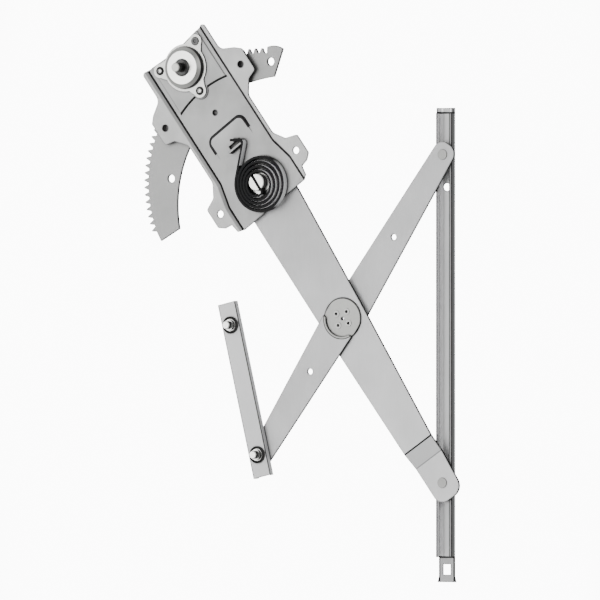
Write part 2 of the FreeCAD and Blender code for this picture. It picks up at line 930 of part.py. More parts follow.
def pivot_stud():
    """Shouldered stud riveted in the arm, its slotted head standing proud to hold the spring."""
    shoulder = panel_front + pivot_washer_gauge + end_play
    stud = turned(
        [
            (0, lift_rear - stud_rear_height),
            (stud_rear_radius - stud_rear_bevel, lift_rear - stud_rear_height),
            (stud_rear_radius, lift_rear - stud_rear_height * stud_rear_edge_share),
            (stud_rear_radius, lift_rear),
            (stud_shank_radius, lift_rear),
            (stud_shank_radius, shoulder),
            (stud_head_radius, shoulder),
            (stud_head_radius, stud_top - stud_head_edge),
            (stud_head_radius - stud_head_edge, stud_top),
            (0, stud_top),
        ]
    )
    half = strip_gauge / 2 + spring_clearance
    slot = box(-through, through, -half, half, strip_base - spring_clearance, through)
    return along_lift_arm(stud.cut(slot))


def pivot_bush():
    """Flanged bush in the plate, in which the stud turns."""
    inner = stud_shank_radius + shaft_fit
    bush = tube(inner + bush_wall - seat_fit, inner, panel_rear, panel_front)
    flange = tube(bush_flange_radius, inner, panel_rear - bush_flange, panel_rear)
    return bush.fuse(flange).removeSplitter()


def pivot_washer():
    inner = stud_shank_radius + shaft_fit
    return tube(pivot_washer_radius, inner, panel_front, panel_front + pivot_washer_gauge)


# Counterbalance spring


def beside(edge, distance):
    """The same edge moved sideways, to the left of its own direction."""
    first, last = edge.ParameterRange
    spots = []
    for value in (first, (first + last) / 2, last):
        tangent = edge.tangentAt(value)
        spots.append(edge.valueAt(value) + point(-tangent.y, tangent.x) * distance)
    if edge.Curve.TypeId == "Part::GeomCircle":
        return arc(*spots)
    return line(spots[0], spots[2])


def ribbon(path, gauge, low, high):
    """Flat strip standing on edge along a smooth path of lines and arcs."""
    left = [beside(edge, gauge / 2) for edge in path]
    right = [beside(edge, -gauge / 2) for edge in path]
    begin = line(ends_of(right[0])[0], ends_of(left[0])[0])
    finish = line(ends_of(right[-1])[1], ends_of(left[-1])[1])
    wire = Part.Wire(Part.__sortEdges__(left + right + [begin, finish]))
    return slab(wire, low, high)


def ends_of(edge):
    first, last = edge.ParameterRange
    return edge.valueAt(first), edge.valueAt(last)


def counterbalance_spring():
    """Flat strip spring: tang in the slotted stud, coil of half circles, straight run and hook.

    Every half circle ends on one line across the coil, so it only needs its two ends on that line:
    close together on the tight side of the coil and wider apart on the open side.
    """
    along = polar(1, arm_angle)
    across = polar(1, arm_angle + 90)
    middle = along * coil_shift
    tight = [middle - across * (inner_tight + tight_pitch * k) for k in range(coil_turns + 1)]
    wide = [middle + across * (inner_open + open_pitch * k) for k in range(coil_turns)]

    quarter = inner_tight - strip_bend
    corner = along * (coil_shift + quarter)
    bend_centre = corner - along * strip_bend - across * strip_bend
    bend_start = bend_centre + across * strip_bend
    bend_end = bend_centre + along * strip_bend
    knee = bend_centre + (along + across).normalize() * strip_bend
    path = [line(along * -tang_back, bend_start), arc(bend_start, knee, bend_end)]
    turn_centre = tight[0] + across * quarter
    knee = turn_centre + (along - across).normalize() * quarter
    path.append(arc(bend_end, knee, tight[0]))
    for k in range(coil_turns):
        for start, end, sense in ((tight[k], wide[k], -1), (wide[k], tight[k + 1], 1)):
            reach = (end - start).Length / 2
            path.append(arc(start, (start + end) * 0.5 + along * (sense * reach), end))

    centre = (tight[-1] + wide[-1]) * 0.5
    radius = (tight[-1] - centre).Length
    hook = FreeCAD.Rotation(point(0, 0, 1), plate_tilt).multVec(point(hook_at_u, hook_at_v))
    gap = hook - centre
    leave = math.degrees(math.atan2(gap.y, gap.x) + math.acos(radius / gap.Length))
    begin = arm_angle - 90
    sweep = (begin - leave) % 360
    last = centre + polar(radius, begin - sweep)
    path.append(arc(tight[-1], centre + polar(radius, begin - sweep / 2), last))

    into = (hook - last).normalize()
    out = polar(1, plate_tilt + hook_leg_angle)
    half_turn = into.getAngle(out) / 2
    trim = strip_bend * math.tan(half_turn)
    crown = hook + (out - into).normalize() * (strip_bend / math.cos(half_turn) - strip_bend)
    path.append(line(last, hook - into * trim))
    path.append(arc(hook - into * trim, crown, hook + out * trim))
    path.append(line(hook + out * trim, hook + out * hook_leg))
    return ribbon(path, strip_gauge, strip_base, strip_base + strip_height)


# Balance arm


def boss_disc(radius, low, high):
    """Round end of an arm half, its two sides cut to the width of the arm."""
    sides = box(-through, through, -balance_half_width, balance_half_width, low, high)
    return disc(radius, low, high).common(sides)


def arm_half_outline(reach):
    """Taper from the centre pivot to the rounded end past the roller."""
    tip = reach + balance_end_half_width
    side = [
        (-boss_radius - boss_overlap, balance_half_width, 0),
        (0, balance_half_width, balance_long_bend),
        (tip, balance_end_half_width - balance_end_taper, balance_end_corner),
    ]
    return rounded(side + [(x, -y, r) for x, y, r in reversed(side)])


def centre_rivet_places():
    return [polar(centre_rivet_circle, 90 * k) for k in range(4)]


def half_with_boss(reach, hole_at, sheet, floor):
    """Arm half: its sheet, opened over the boss, and the floor of the boss pressed to the other half."""
    low, high = sheet
    plan = slab(arm_half_outline(reach), low, high)
    ahead = box(-through, boss_step_back, -through, through, -through, through)
    hollow = bore(boss_radius - balance_arm_gauge)
    wall = boss_disc(boss_radius, min(low, floor[0]), max(high, floor[1]))
    half = fused([plan.cut(ahead).cut(hollow), wall.cut(ahead).cut(hollow), boss_disc(boss_radius, *floor)])
    half = half.cut(bore(arm_hole_radius, point(hole_at, 0)))
    half = half.cut(bore(roller_stud_radius, point(reach, 0)))
    half = half.cut(bore(pilot_hole_radius))
    for place in centre_rivet_places():
        half = half.cut(bore(centre_rivet_radius, place))
    return half.removeSplitter()


def balance_arm_front():
    """Lower half of the balance arm, in front of the lift arm."""
    sheet = (front_half_rear, front_half_front)
    floor = (half_meeting, half_meeting + balance_arm_gauge)
    half = half_with_boss(pivot_to_centre, arm_hole_in, sheet, floor)
    return along_balance_arm(spun(half, 180))


def balance_arm_rear():
    """Upper half of the balance arm, behind the lift arm."""
    sheet = (rear_half_rear, rear_half_front)
    floor = (half_meeting - balance_arm_gauge, half_meeting)
    half = half_with_boss(centre_to_roller, arm_hole_out, sheet, floor)
    return along_balance_arm(half)


def centre_rivets():
    """Four tubular rivets that clamp the two bosses together through the lift arm."""
    low = half_meeting - balance_arm_gauge
    high = half_meeting + balance_arm_gauge
    rivets = []
    for place in centre_rivet_places():
        rivet = disc(centre_rivet_radius - seat_fit, low, high, place)
        front = disc(centre_rivet_radius + centre_rivet_lip, high, high + centre_rivet_head, place)
        rear = disc(centre_rivet_radius + centre_rivet_lip, low - centre_rivet_head, low, place)
        hollow = bore(centre_rivet_bore, place)
        rivets.append(along_balance_arm(fused([rivet, front, rear]).cut(hollow)))
    return Part.makeCompound(rivets)


# Rollers and their studs


def roller_stud(head_from, head_to, roller_end):
    """Riveted stud: head on the free face of the arm, shank through the arm and the roller, end cap."""
    away = 1 if roller_end > head_to else -1
    head = disc(roller_stud_head_radius, *sorted((head_from, head_to)))
    shank = disc(roller_stud_radius - seat_fit, *sorted((head_to, roller_end + away * stud_cap)))
    near, far = sorted((roller_end + away * end_play, roller_end + away * stud_cap))
    cap = disc(roller_stud_radius + stud_cap_lip, near, far)
    return fused([head, shank, cap])


def roller(near, far, neck_to, radius):
    """Moulded roller with a neck that keeps it clear of the arm."""
    low, high = sorted((near, far))
    body = disc(radius, low, high)
    body = body.makeFillet(roller_round, [body.Edges[0], body.Edges[2]])
    neck_low, neck_high = sorted((near, neck_to))
    neck = disc(roller_neck_radius, neck_low, neck_high)
    return body.fuse(neck).removeSplitter().cut(bore(roller_stud_radius + shaft_fit))


rail_roller_near = rail_front - rail_gauge - roller_end_gap
rail_roller_far = rail_rear + rail_gauge + roller_end_gap + stud_cap
guide_roller_near = guide_rear + rail_gauge + roller_end_gap
guide_roller_far = guide_front - rail_gauge - roller_end_gap - stud_cap


def rail_roller():
    return roller(rail_roller_near, rail_roller_far, rear_half_rear - end_play, rail_roller_radius)


def rail_roller_stud():
    return roller_stud(rear_half_front + stud_head_height, rear_half_front, rail_roller_far)


def lift_roller_stud():
    fold_front = gear_rear - fold_depth
    stud = roller_stud(fold_front + stud_head_height, fold_front, rail_roller_far)
    return moved(stud, lift_roller_x, rail_y)


def lower_roller_stud():
    stud = roller_stud(front_half_rear - stud_head_height, front_half_rear, guide_roller_far)
    return moved(stud, lower_roller_x, 0)


def lower_roller():
    part = roller(guide_roller_near, guide_roller_far, front_half_front + end_play, guide_roller_radius)
    return moved(part, lower_roller_x, 0)


# Rails


def channel(half_width, low, high, lip, open_front):
    """Section of a rail with inturned lips, as (y, z) corners."""
    g = rail_gauge
    if open_front:
        lips, base = high, low
        inner_lips, inner_base = high - g, low + g
    else:
        lips, base = low, high
        inner_lips, inner_base = low + g, high - g
    w = half_width
    return [
        (-w, base),
        (w, base),
        (w, lips),
        (w - lip, lips),
        (w - lip, inner_lips),
        (w - g, inner_lips),
        (w - g, inner_base),
        (-w + g, inner_base),
        (-w + g, inner_lips),
        (-w + lip, inner_lips),
        (-w + lip, lips),
        (-w, lips),
    ]


def rail_solid(section, start, end):
    corners = [point(start, y, z) for y, z in section]
    return Part.Face(Part.makePolygon(corners + corners[:1])).extrude(point(end - start, 0, 0))


def glass_rail():
    """Long channel that carries the glass, its lips towards the arms and its lower end left open."""
    section = channel(rail_half_width, rail_rear, rail_front, rail_lip, True)
    rail = rail_solid(section, rail_start, rail_lips_end)
    w = rail_half_width
    lips_start = rail_start + rail_lip_setback
    rail = rail.cut(box(-through, lips_start, -through, through, rail_front - rail_gauge, through))
    tongue = [
        (rail_lips_end - tongue_overlap, -w, 0),
        (rail_end - rail_flare_length, -w, 0),
        (rail_end, -w - rail_end_flare, 0),
        (rail_end, w + rail_end_flare, 0),
        (rail_end - rail_flare_length, w, 0),
        (rail_lips_end - tongue_overlap, w, 0),
    ]
    rail = rail.fuse(slab(rounded(tongue), rail_rear, rail_rear + rail_gauge))
    slot = box(
        rail_slot_at - rail_slot_half_length,
        rail_slot_at + rail_slot_half_length,
        -rail_slot_half_width,
        rail_slot_half_width,
        -through,
        through,
    )
    hole = disc(rail_hole_radius, -through, rail_front - rail_gauge, point(rail_hole_at, 0))
    return moved(rail.cut(hole).cut(slot).removeSplitter(), 0, rail_y)


def guide_middle():
    return guide_overhang - guide_length / 2


def guide_stud_places():
    half = guide_stud_spacing / 2
    return [point(guide_middle() - half, 0), point(guide_middle() + half, 0)]


def guide_rail():
    """Short channel bolted to the door, open towards the balance arm."""
    section = channel(guide_half_width, guide_rear, guide_front, guide_lip, False)
    rail = rail_solid(section, guide_overhang - guide_length, guide_overhang)
    for place in guide_stud_places():
        rail = rail.cut(bore(guide_tenon_radius, place))
    return along_guide(rail)


def guide_studs():
    """Two collared studs, riveted flush inside the channel, that bolt the guide to the door."""
    studs = []
    for place in guide_stud_places():
        tenon = disc(guide_tenon_radius - seat_fit, guide_front - rail_gauge, guide_front, place)
        collar = disc(guide_collar_radius, guide_front, guide_front + guide_collar_height, place)
        collar = collar.makeFillet(guide_collar_round, [collar.Edges[0]])
        top = guide_front + guide_collar_height
        pad = disc(guide_pad_radius, top, top + guide_pad_height, place)
        end = disc(guide_stud_radius, top + guide_pad_height, top + guide_stud_length, place)
        end = end.makeChamfer(guide_stud_chamfer, [end.Edges[0]])
        studs.append(along_guide(fused([tenon, collar, pad, end])))
    return Part.makeCompound(studs)


# The whole regulator


pieces = {
    "mounting_plate": mounting_plate(),
    "pinion_housing": pinion_housing(),
    "housing_rivets": housing_rivets(),
    "shaft_bush": shaft_bush(),
    "pivot_bush": pivot_bush(),
    "pivot_washer": pivot_washer(),
    "counterbalance_spring": counterbalance_spring(),
    "crank_shaft": crank_shaft(),
    "drive_core": drive_core(),
    "brake_spring": brake_spring(),
    "thrust_washer": thrust_washer(),
    "pinion_gear": pinion_gear(),
    "sector_gear": sector_gear(),
    "lift_arm": lift_arm(),
    "sector_rivets": sector_rivets(),
    "pivot_stud": pivot_stud(),
    "lift_roller_stud": lift_roller_stud(),
    "lift_roller": moved(rail_roller(), lift_roller_x, rail_y),
    "balance_arm_front": balance_arm_front(),
    "balance_arm_rear": balance_arm_rear(),
    "centre_rivets": centre_rivets(),
    "upper_roller_stud": moved(rail_roller_stud(), upper_roller_x, rail_y),
    "upper_roller": moved(rail_roller(), upper_roller_x, rail_y),
    "glass_rail": glass_rail(),
    "lower_roller_stud": lower_roller_stud(),
    "lower_roller": lower_roller(),
    "guide_rail": guide_rail(),
    "guide_studs": guide_studs(),
}

# The middle of the mounting holes lies half the hole spacing up the plate from the main pivot.
stand = FreeCAD.Placement(point(0, 0), FreeCAD.Rotation(point(1, 0, 0), 90))
to_middle = FreeCAD.Placement(polar(hole_square / 2, plate_tilt), FreeCAD.Rotation())

os.makedirs("parts", exist_ok=True)
for name, shape in pieces.items():
    shape = shape.copy()
    shape.Placement = stand.multiply(to_middle).multiply(shape.Placement)
    shape.exportStep(f"parts/{name}.step")
    print(name, "solids", len(shape.Solids), "volume mm3", round(shape.Volume, 1), shape.isValid())
print("main pivot", stand.multiply(to_middle).multVec(point(0, 0)))
for label, x, y in (
    ("crank axis", *polar(centre_distance, plate_tilt + 180)[:2]),
    ("centre pivot", centre_x, centre_y),
    ("lift roller", lift_roller_x, rail_y),
    ("upper roller", upper_roller_x, rail_y),
    ("lower roller", lower_roller_x, 0),
):
    print(label, stand.multiply(to_middle).multVec(point(x, y)))
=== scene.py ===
# %% [markdown]
# A manual window regulator is a flat, open mechanism: pressed and blanked sheet steel, two roll-formed
# rails, a drawn steel cup and one black spring. Almost everything here is steel, so the work lies in telling
# one steel finish from the next, and in the spring, which has to wind up as the arm turns.
# The construction comes from the frame, and this file dresses it.

# %% Load the frame
import json
import math
import bpy
import numpy as np
from mathutils import Matrix, Vector


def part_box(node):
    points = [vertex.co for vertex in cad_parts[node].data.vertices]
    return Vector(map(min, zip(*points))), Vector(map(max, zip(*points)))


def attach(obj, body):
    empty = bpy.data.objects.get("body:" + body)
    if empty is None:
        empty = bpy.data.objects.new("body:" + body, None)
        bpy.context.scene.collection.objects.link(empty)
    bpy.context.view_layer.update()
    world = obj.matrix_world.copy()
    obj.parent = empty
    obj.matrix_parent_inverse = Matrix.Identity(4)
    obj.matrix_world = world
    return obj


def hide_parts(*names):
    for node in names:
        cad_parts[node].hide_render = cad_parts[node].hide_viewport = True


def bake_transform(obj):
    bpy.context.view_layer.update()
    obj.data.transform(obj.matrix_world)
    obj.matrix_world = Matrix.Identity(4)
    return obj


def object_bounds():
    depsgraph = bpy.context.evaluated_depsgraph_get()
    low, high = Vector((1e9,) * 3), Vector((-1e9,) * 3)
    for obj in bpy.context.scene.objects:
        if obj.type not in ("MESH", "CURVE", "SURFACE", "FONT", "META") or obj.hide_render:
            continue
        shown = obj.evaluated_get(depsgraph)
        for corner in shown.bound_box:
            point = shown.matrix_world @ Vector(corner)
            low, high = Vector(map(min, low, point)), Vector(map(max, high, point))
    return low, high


MM = 0.001
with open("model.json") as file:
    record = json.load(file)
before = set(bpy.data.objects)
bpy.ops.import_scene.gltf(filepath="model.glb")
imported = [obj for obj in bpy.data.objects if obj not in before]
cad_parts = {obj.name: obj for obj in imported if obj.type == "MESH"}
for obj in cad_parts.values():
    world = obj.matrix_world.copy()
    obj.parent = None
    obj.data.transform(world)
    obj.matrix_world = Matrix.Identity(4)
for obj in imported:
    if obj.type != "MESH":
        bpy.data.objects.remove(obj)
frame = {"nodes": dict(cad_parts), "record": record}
cad_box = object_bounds()
joints = {joint["name"]: joint for joint in frame["record"]["behaviour"]["joints"]}
pivot = Vector(joints["lift"]["pos_m"])
centre = Vector(joints["centre_pivot"]["pos_m"])
crank = Vector(joints["crank_turn"]["pos_m"])
print("nodes", len(frame["nodes"]), "box", cad_box)

# %% [markdown]
# The camera stands far off and looks down on the flat mechanism at a slant, so that the plan is foreshortened
# across the picture. A long lens keeps the rails parallel, as they are in the photograph. The mechanism's
# X axis runs down the picture and its Z axis runs to the right, so the camera lies on its side.

# %% Camera
PICTURE = 0.600
DISTANCE = 12.0
SLANT = math.radians(29.0)
AIM = Vector((0.1613, 0.0, 0.0799))
SENSOR = 36.0

toward = Vector((0, -math.cos(SLANT), math.sin(SLANT)))
across_picture = Vector((0, math.sin(SLANT), math.cos(SLANT)))
up_picture = toward.cross(across_picture)
camera_data = bpy.data.cameras.new("camera")
camera_data.sensor_width = SENSOR
camera_data.lens = SENSOR * DISTANCE / PICTURE
camera_data.clip_end = 100.0
camera = bpy.data.objects.new("camera", camera_data)
bpy.context.collection.objects.link(camera)
turn = Matrix((across_picture, up_picture, toward)).transposed().to_4x4()
camera.matrix_world = Matrix.Translation(AIM + toward * DISTANCE) @ turn
bpy.context.scene.camera = camera
print("lens mm", round(camera_data.lens))

# %% [markdown]
# The light is that of a light tent: white from everywhere, with two broad soft lamps in front and one behind.
# Sheet steel shows what it mirrors. The sheets here all stand upright, so a viewer above them sees the ground
# before them in each face, and a lamp close to the ground there is what makes bright zinc shine while satin
# zinc stays calm. The glowing floor behind the part does the same for someone who looks at the back.

# %% Light
def colour(code):
    """An sRGB hex colour as linear red, green, blue and alpha."""
    values = [int(code[i:i + 2], 16) / 255 for i in (1, 3, 5)]
    linear = [v / 12.92 if v <= 0.04045 else ((v + 0.055) / 1.055) ** 2.4 for v in values]
    return (*linear, 1.0)


world = bpy.data.worlds.new("light_tent")
world.use_nodes = True
world.node_tree.nodes["Background"].inputs["Color"].default_value = colour("#F6F7F8")
world.node_tree.nodes["Background"].inputs["Strength"].default_value = 0.95
bpy.context.scene.world = world

SOFT_LAMPS = {
    "low_front": ((0.2, -1.9, -0.75), 1.1, 26.0),
    "high_front": ((-0.7, -2.1, 1.5), 1.6, 16.0),
    "high_back": ((0.9, 1.9, 1.6), 1.6, 5.0),
}
for name, (place, size, power) in SOFT_LAMPS.items():
    lamp_data = bpy.data.lights.new(name, "AREA")
    lamp_data.size = size
    lamp_data.energy = power
    lamp = bpy.data.objects.new(name, lamp_data)
    lamp.location = place
    lamp.rotation_euler = (AIM - Vector(place)).to_track_quat("-Z", "Y").to_euler()
    bpy.context.collection.objects.link(lamp)
print("lamps", len(SOFT_LAMPS))

# %% [markdown]
# One small function adds a shader node with its settings and links. The ones after it say where on a piece a
# finish changes or shade is painted: on cut edges, in inside corners, on rims, at a distance, or along the
# rolled grain. Each finish below is a function of its own that starts from the real surface, and asks these
# where it is.

# %% Node helper
def add_node(tree, kind, settings=None, sockets=None):
    """A node of this kind. Settings are its properties, and sockets, by name or number, are linked or set."""
    node = tree.nodes.new(kind)
    for name, value in (settings or {}).items():
        setattr(node, name, value)
    for key, value in (sockets or {}).items():
        if isinstance(value, bpy.types.NodeSocket):
            tree.links.new(value, node.inputs[key])
        else:
            node.inputs[key].default_value = value
    return node


def finish_named(name):
    """An empty material with its node tree, its output node and the place of a spot on the piece."""
    made = bpy.data.materials.new(name)
    made.use_nodes = True
    made.node_tree.nodes.clear()
    output = made.node_tree.nodes.new("ShaderNodeOutputMaterial")
    place = add_node(made.node_tree, "ShaderNodeTexCoord").outputs["Object"]
    return made, made.node_tree, output, place


def shade(code, share):
    """A colour made lighter or darker by a share of itself."""
    return (*(min(1.0, c * (1 + share)) for c in colour(code)[:3]), 1.0)


# %% [markdown]
# Every sheet of this mechanism lies across the Y axis. A face therefore looks along Y and a cut edge looks
# across it, and the Y part of the surface's own direction tells the two apart. Sheared edges are rough and
# bare, and their dark colour beside the plated face is painted shade.
#
# Shade is painted wherever two surfaces meet. An ambient occlusion node sends short rays out of each spot,
# and the share that gets away says how open it is: all of them on a face, and half in a square corner. This
# paints a thin dark line of shade round each rivet head, step, lip and lapped sheet.

# %% Where a finish changes
SOFT = 0.1 * MM


def facing(tree):
    """The X, Y and Z parts of the surface's own direction."""
    direction = add_node(tree, "ShaderNodeNewGeometry").outputs["True Normal"]
    return add_node(tree, "ShaderNodeSeparateXYZ", None, {0: direction}).outputs


def on_cut_edges(tree, begin=0.85, full=0.30):
    """0 on a face and 1 on a sheared edge.

    On the face the Y part of the direction is over begin, and on the edge it is under full.
    """
    size = add_node(tree, "ShaderNodeMath", {"operation": "ABSOLUTE"}, {0: facing(tree)["Y"]})
    mask = add_node(tree, "ShaderNodeMapRange", {"interpolation_type": "SMOOTHSTEP"},
                    {0: size.outputs[0], 1: begin, 2: full})
    return mask.outputs[0]


def in_corners(tree, reach, depth):
    """Painted shade: from 0 in the open to depth where about half of the rays of this reach, in metres, get
    away.
    """
    sky = add_node(tree, "ShaderNodeAmbientOcclusion", {"samples": 10}, {"Distance": reach})
    mask = add_node(tree, "ShaderNodeMapRange", {"interpolation_type": "SMOOTHSTEP"},
                    {0: sky.outputs["AO"], 1: 0.90, 2: 0.52, 3: 0.0, 4: depth})
    return mask.outputs[0]


def on_rims(tree, reach):
    """1 at the very rim of a sheet's face, fading out within the reach in metres.

    The rays are sent into the steel here. Well inside a face none of this length comes out again, and at a
    rim half of them do. The mask paints shade along the rims, and on the rails it also makes them rough.
    """
    inside = add_node(tree, "ShaderNodeAmbientOcclusion", {"samples": 8, "inside": True}, {"Distance": reach})
    mask = add_node(tree, "ShaderNodeMapRange", None, {0: inside.outputs["AO"], 1: 0.97, 2: 0.72})
    return mask.outputs[0]


def run_along(tree, place, start, direction):
    """How far a spot lies from a start along a direction, in metres."""
    moved = add_node(tree, "ShaderNodeVectorMath", {"operation": "SUBTRACT"}, {0: place, 1: start})
    run = add_node(tree, "ShaderNodeVectorMath", {"operation": "DOT_PRODUCT"},
                   {0: moved.outputs[0], 1: direction})
    return run.outputs["Value"]


def from_axis(tree, place, axis):
    """How far a spot lies from an axis along Y, in metres."""
    moved = add_node(tree, "ShaderNodeVectorMath", {"operation": "SUBTRACT"}, {0: place, 1: axis})
    flat = add_node(tree, "ShaderNodeVectorMath", {"operation": "MULTIPLY"},
                    {0: moved.outputs[0], 1: (1, 0, 1)})
    far = add_node(tree, "ShaderNodeVectorMath", {"operation": "LENGTH"}, {0: flat.outputs[0]})
    return far.outputs["Value"]


def line_at(tree, value, middle, width):
    """1 where a value lies within half a width of the middle, with a soft tenth of a millimetre each side."""
    off = add_node(tree, "ShaderNodeMath", {"operation": "SUBTRACT"}, {0: value, 1: middle})
    size = add_node(tree, "ShaderNodeMath", {"operation": "ABSOLUTE"}, {0: off.outputs[0]})
    mask = add_node(tree, "ShaderNodeMapRange", None,
                    {0: size.outputs[0], 1: width / 2 + SOFT, 2: width / 2 - SOFT})
    return mask.outputs[0]


def between(tree, value, low, high):
    """1 where a value lies between low and high."""
    return line_at(tree, value, (low + high) / 2, high - low)


def where_all(tree, first, *others):
    """1 where all of these masks are 1: their product."""
    for other in others:
        first = add_node(tree, "ShaderNodeMath", {"operation": "MULTIPLY"}, {0: first, 1: other}).outputs[0]
    return first


def where_any(tree, first, *others):
    """Where any of these masks is 1: the largest of them."""
    for other in others:
        first = add_node(tree, "ShaderNodeMath", {"operation": "MAXIMUM"}, {0: first, 1: other}).outputs[0]
    return first


def along_grain(tree, place, turned):
    """Rolled grain: a noise drawn out 40 to 1 along X, with lines 0.4 mm wide.

    The turn comes after the drawing out. It doesn't turn the lines, and gives a finish its own stretch of
    the noise.
    """
    lined = add_node(tree, "ShaderNodeMapping", None,
                     {"Vector": place, "Rotation": (0, turned, 0), "Scale": (60, 2500, 2500)})
    return add_node(tree, "ShaderNodeTexNoise", None,
                    {"Vector": lined.outputs[0], "Scale": 1.0, "Detail": 3.0})


# %% [markdown]
# Zinc-plated cold-rolled steel is the finish of nearly every sheet. The plating is satin: a metal whose
# mirror image is spread wide, so its roughness is high, and it is clouded where the bath ran off unevenly.
# The rolled grain runs down every piece along X. On the slanted strips it should be turned with the strip,
# but its lines are too fine and faint for the picture to show which way they run. A colour is mixed in three
# steps: the clouds, then whatever the piece adds of its own, then the painted shade on its rims, cut edges
# and corners.

# %% Satin zinc on sheet steel
CUT_ROUGHNESS = 0.85
RIM_REACH = 1.1
RIM_SHARE = 0.55


def satin_zinc(name, face, edge, roughness=0.60, cloud=0.06, cloud_size=45.0, turned=0.0, corner=(2.6, 0.85),
               own_marks=None, spared=None):
    """Sheet steel with satin zinc: clouds of cloud_size mm, its own stretch of the grain, and painted shade.

    A rolled channel has plated sides where other sheets have cut edges, so its edge colour is None. The
    corner is the reach of its painted shadow in mm and its depth. Own marks is a function that adds what only
    this piece has to the colour, and spared is one that says where no shade is painted on its edges and
    corners.
    """
    made, tree, output, place = finish_named(name)
    grain = along_grain(tree, place, turned)
    bath = add_node(tree, "ShaderNodeTexNoise", None,
                    {"Vector": place, "Scale": 1 / (cloud_size * MM), "Detail": 3.0, "Roughness": 0.45})
    soft = add_node(tree, "ShaderNodeMapRange", None, {0: bath.outputs["Fac"], 1: 0.34, 2: 0.66})
    clouded = add_node(tree, "ShaderNodeMix", {"data_type": "RGBA"},
                       {0: soft.outputs[0], 6: shade(face, -cloud), 7: shade(face, cloud)}).outputs[2]
    lined = add_node(tree, "ShaderNodeMapRange", None, {0: grain.outputs["Fac"], 3: 0.0, 4: 0.10})
    tone = add_node(tree, "ShaderNodeMix", {"data_type": "RGBA"},
                    {0: lined.outputs[0], 6: clouded, 7: shade(face, -0.45)}).outputs[2]
    if own_marks:
        tone = own_marks(tree, place, tone)
    # Painted shade: the rims of each face are darkened.
    rim = add_node(tree, "ShaderNodeMath", {"operation": "MULTIPLY"},
                   {0: on_rims(tree, RIM_REACH * MM), 1: RIM_SHARE})
    tone = add_node(tree, "ShaderNodeMix", {"data_type": "RGBA"},
                    {0: rim.outputs[0], 6: tone, 7: colour("#3A3A3A")}).outputs[2]
    cut = on_cut_edges(tree) if edge else rim.outputs[0]
    dark = in_corners(tree, corner[0] * MM, corner[1])
    if spared:
        cut, dark = where_all(tree, cut, spared(tree, place)), where_all(tree, dark, spared(tree, place))
    # Painted shade: cut edges are coloured dark.
    if edge:
        tone = add_node(tree, "ShaderNodeMix", {"data_type": "RGBA"},
                        {0: cut, 6: tone, 7: colour(edge)}).outputs[2]
    # Painted shade: corners are darkened to near black.
    corner_shaded = add_node(tree, "ShaderNodeMix", {"data_type": "RGBA"},
                      {0: dark, 6: tone, 7: colour("#101010")}).outputs[2]
    varied = add_node(tree, "ShaderNodeMapRange", None,
                    {0: grain.outputs["Fac"], 3: roughness - 0.07, 4: roughness + 0.07})
    rough = add_node(tree, "ShaderNodeMix", None, {0: cut, 2: varied.outputs[0], 3: CUT_ROUGHNESS})
    bump = add_node(tree, "ShaderNodeBump", None,
                    {"Height": grain.outputs["Fac"], "Strength": 0.12, "Distance": 0.02 * MM})
    shader = add_node(tree, "ShaderNodeBsdfPrincipled", None, {
        "Base Color": corner_shaded, "Roughness": rough.outputs[0], "Normal": bump.outputs[0], "Metallic": 0.75})
    tree.links.new(shader.outputs[0], output.inputs["Surface"])
    return made


# %% [markdown]
# The plate carries marks of its own. Its sunk panel is a little darker than its rim, and a crisp black line
# of painted shade lies wherever the tool bent the sheet: at the foot of the step round the panel, along the
# arc where the pad under the housing begins, and round the upper end of the ramp before the spring's tab.
# Each line is drawn where a distance is right: a depth, a radius from the main pivot, or a distance from a
# rounded rectangle.

# %% Marks of the plate
# Millimetres, and down the plate they are counted from the main pivot.
PANEL_DEPTH = 3.5
FOOT_OF_STEP = 1.2
PAD_ARC = 114.0
PAD_ARC_SPAN = (-200.0, -60.0)
PAD_SIDE_SPAN = (-166.0, -108.0)
PAD_HALF_WIDTH = 32.0
PAD_LOBE = 9.0
RAMP_TOP = -68.3
RAMP_HALF_WIDTH = 23.0
RAMP_CORNER = 7.0
RAMP_LINE_END = -52.0
SHADE_LINE_WIDTH = 2.1
RAMP_LINE = 3.4
plate_turn = math.atan2(pivot.z - crank.z, pivot.x - crank.x)
down_plate = (math.cos(plate_turn), 0, math.sin(plate_turn))
across_plate = (-math.sin(plate_turn), 0, math.cos(plate_turn))


def foot_of_step(tree, depth):
    """The lower part of each front slope of the step.

    It is where the depth in mm, less one and a half times the direction's Z part, is over 1.2: the lower
    half of the slope on one side of the panel, and nearly all of it on the other.
    """
    parts = facing(tree)
    slope = add_node(tree, "ShaderNodeMapRange", None, {0: parts["Y"], 1: -0.93, 2: -0.88})
    front = add_node(tree, "ShaderNodeMath", {"operation": "LESS_THAN"}, {0: parts["Y"], 1: -0.2})
    side = add_node(tree, "ShaderNodeMath", {"operation": "MULTIPLY_ADD"},
                    {0: parts["Z"], 1: -1.5 * MM, 2: depth})
    foot = add_node(tree, "ShaderNodeMapRange", None,
                    {0: side.outputs[0], 1: (FOOT_OF_STEP - 0.2) * MM, 2: (FOOT_OF_STEP + 0.2) * MM})
    return where_all(tree, slope.outputs[0], foot.outputs[0], front.outputs[0])


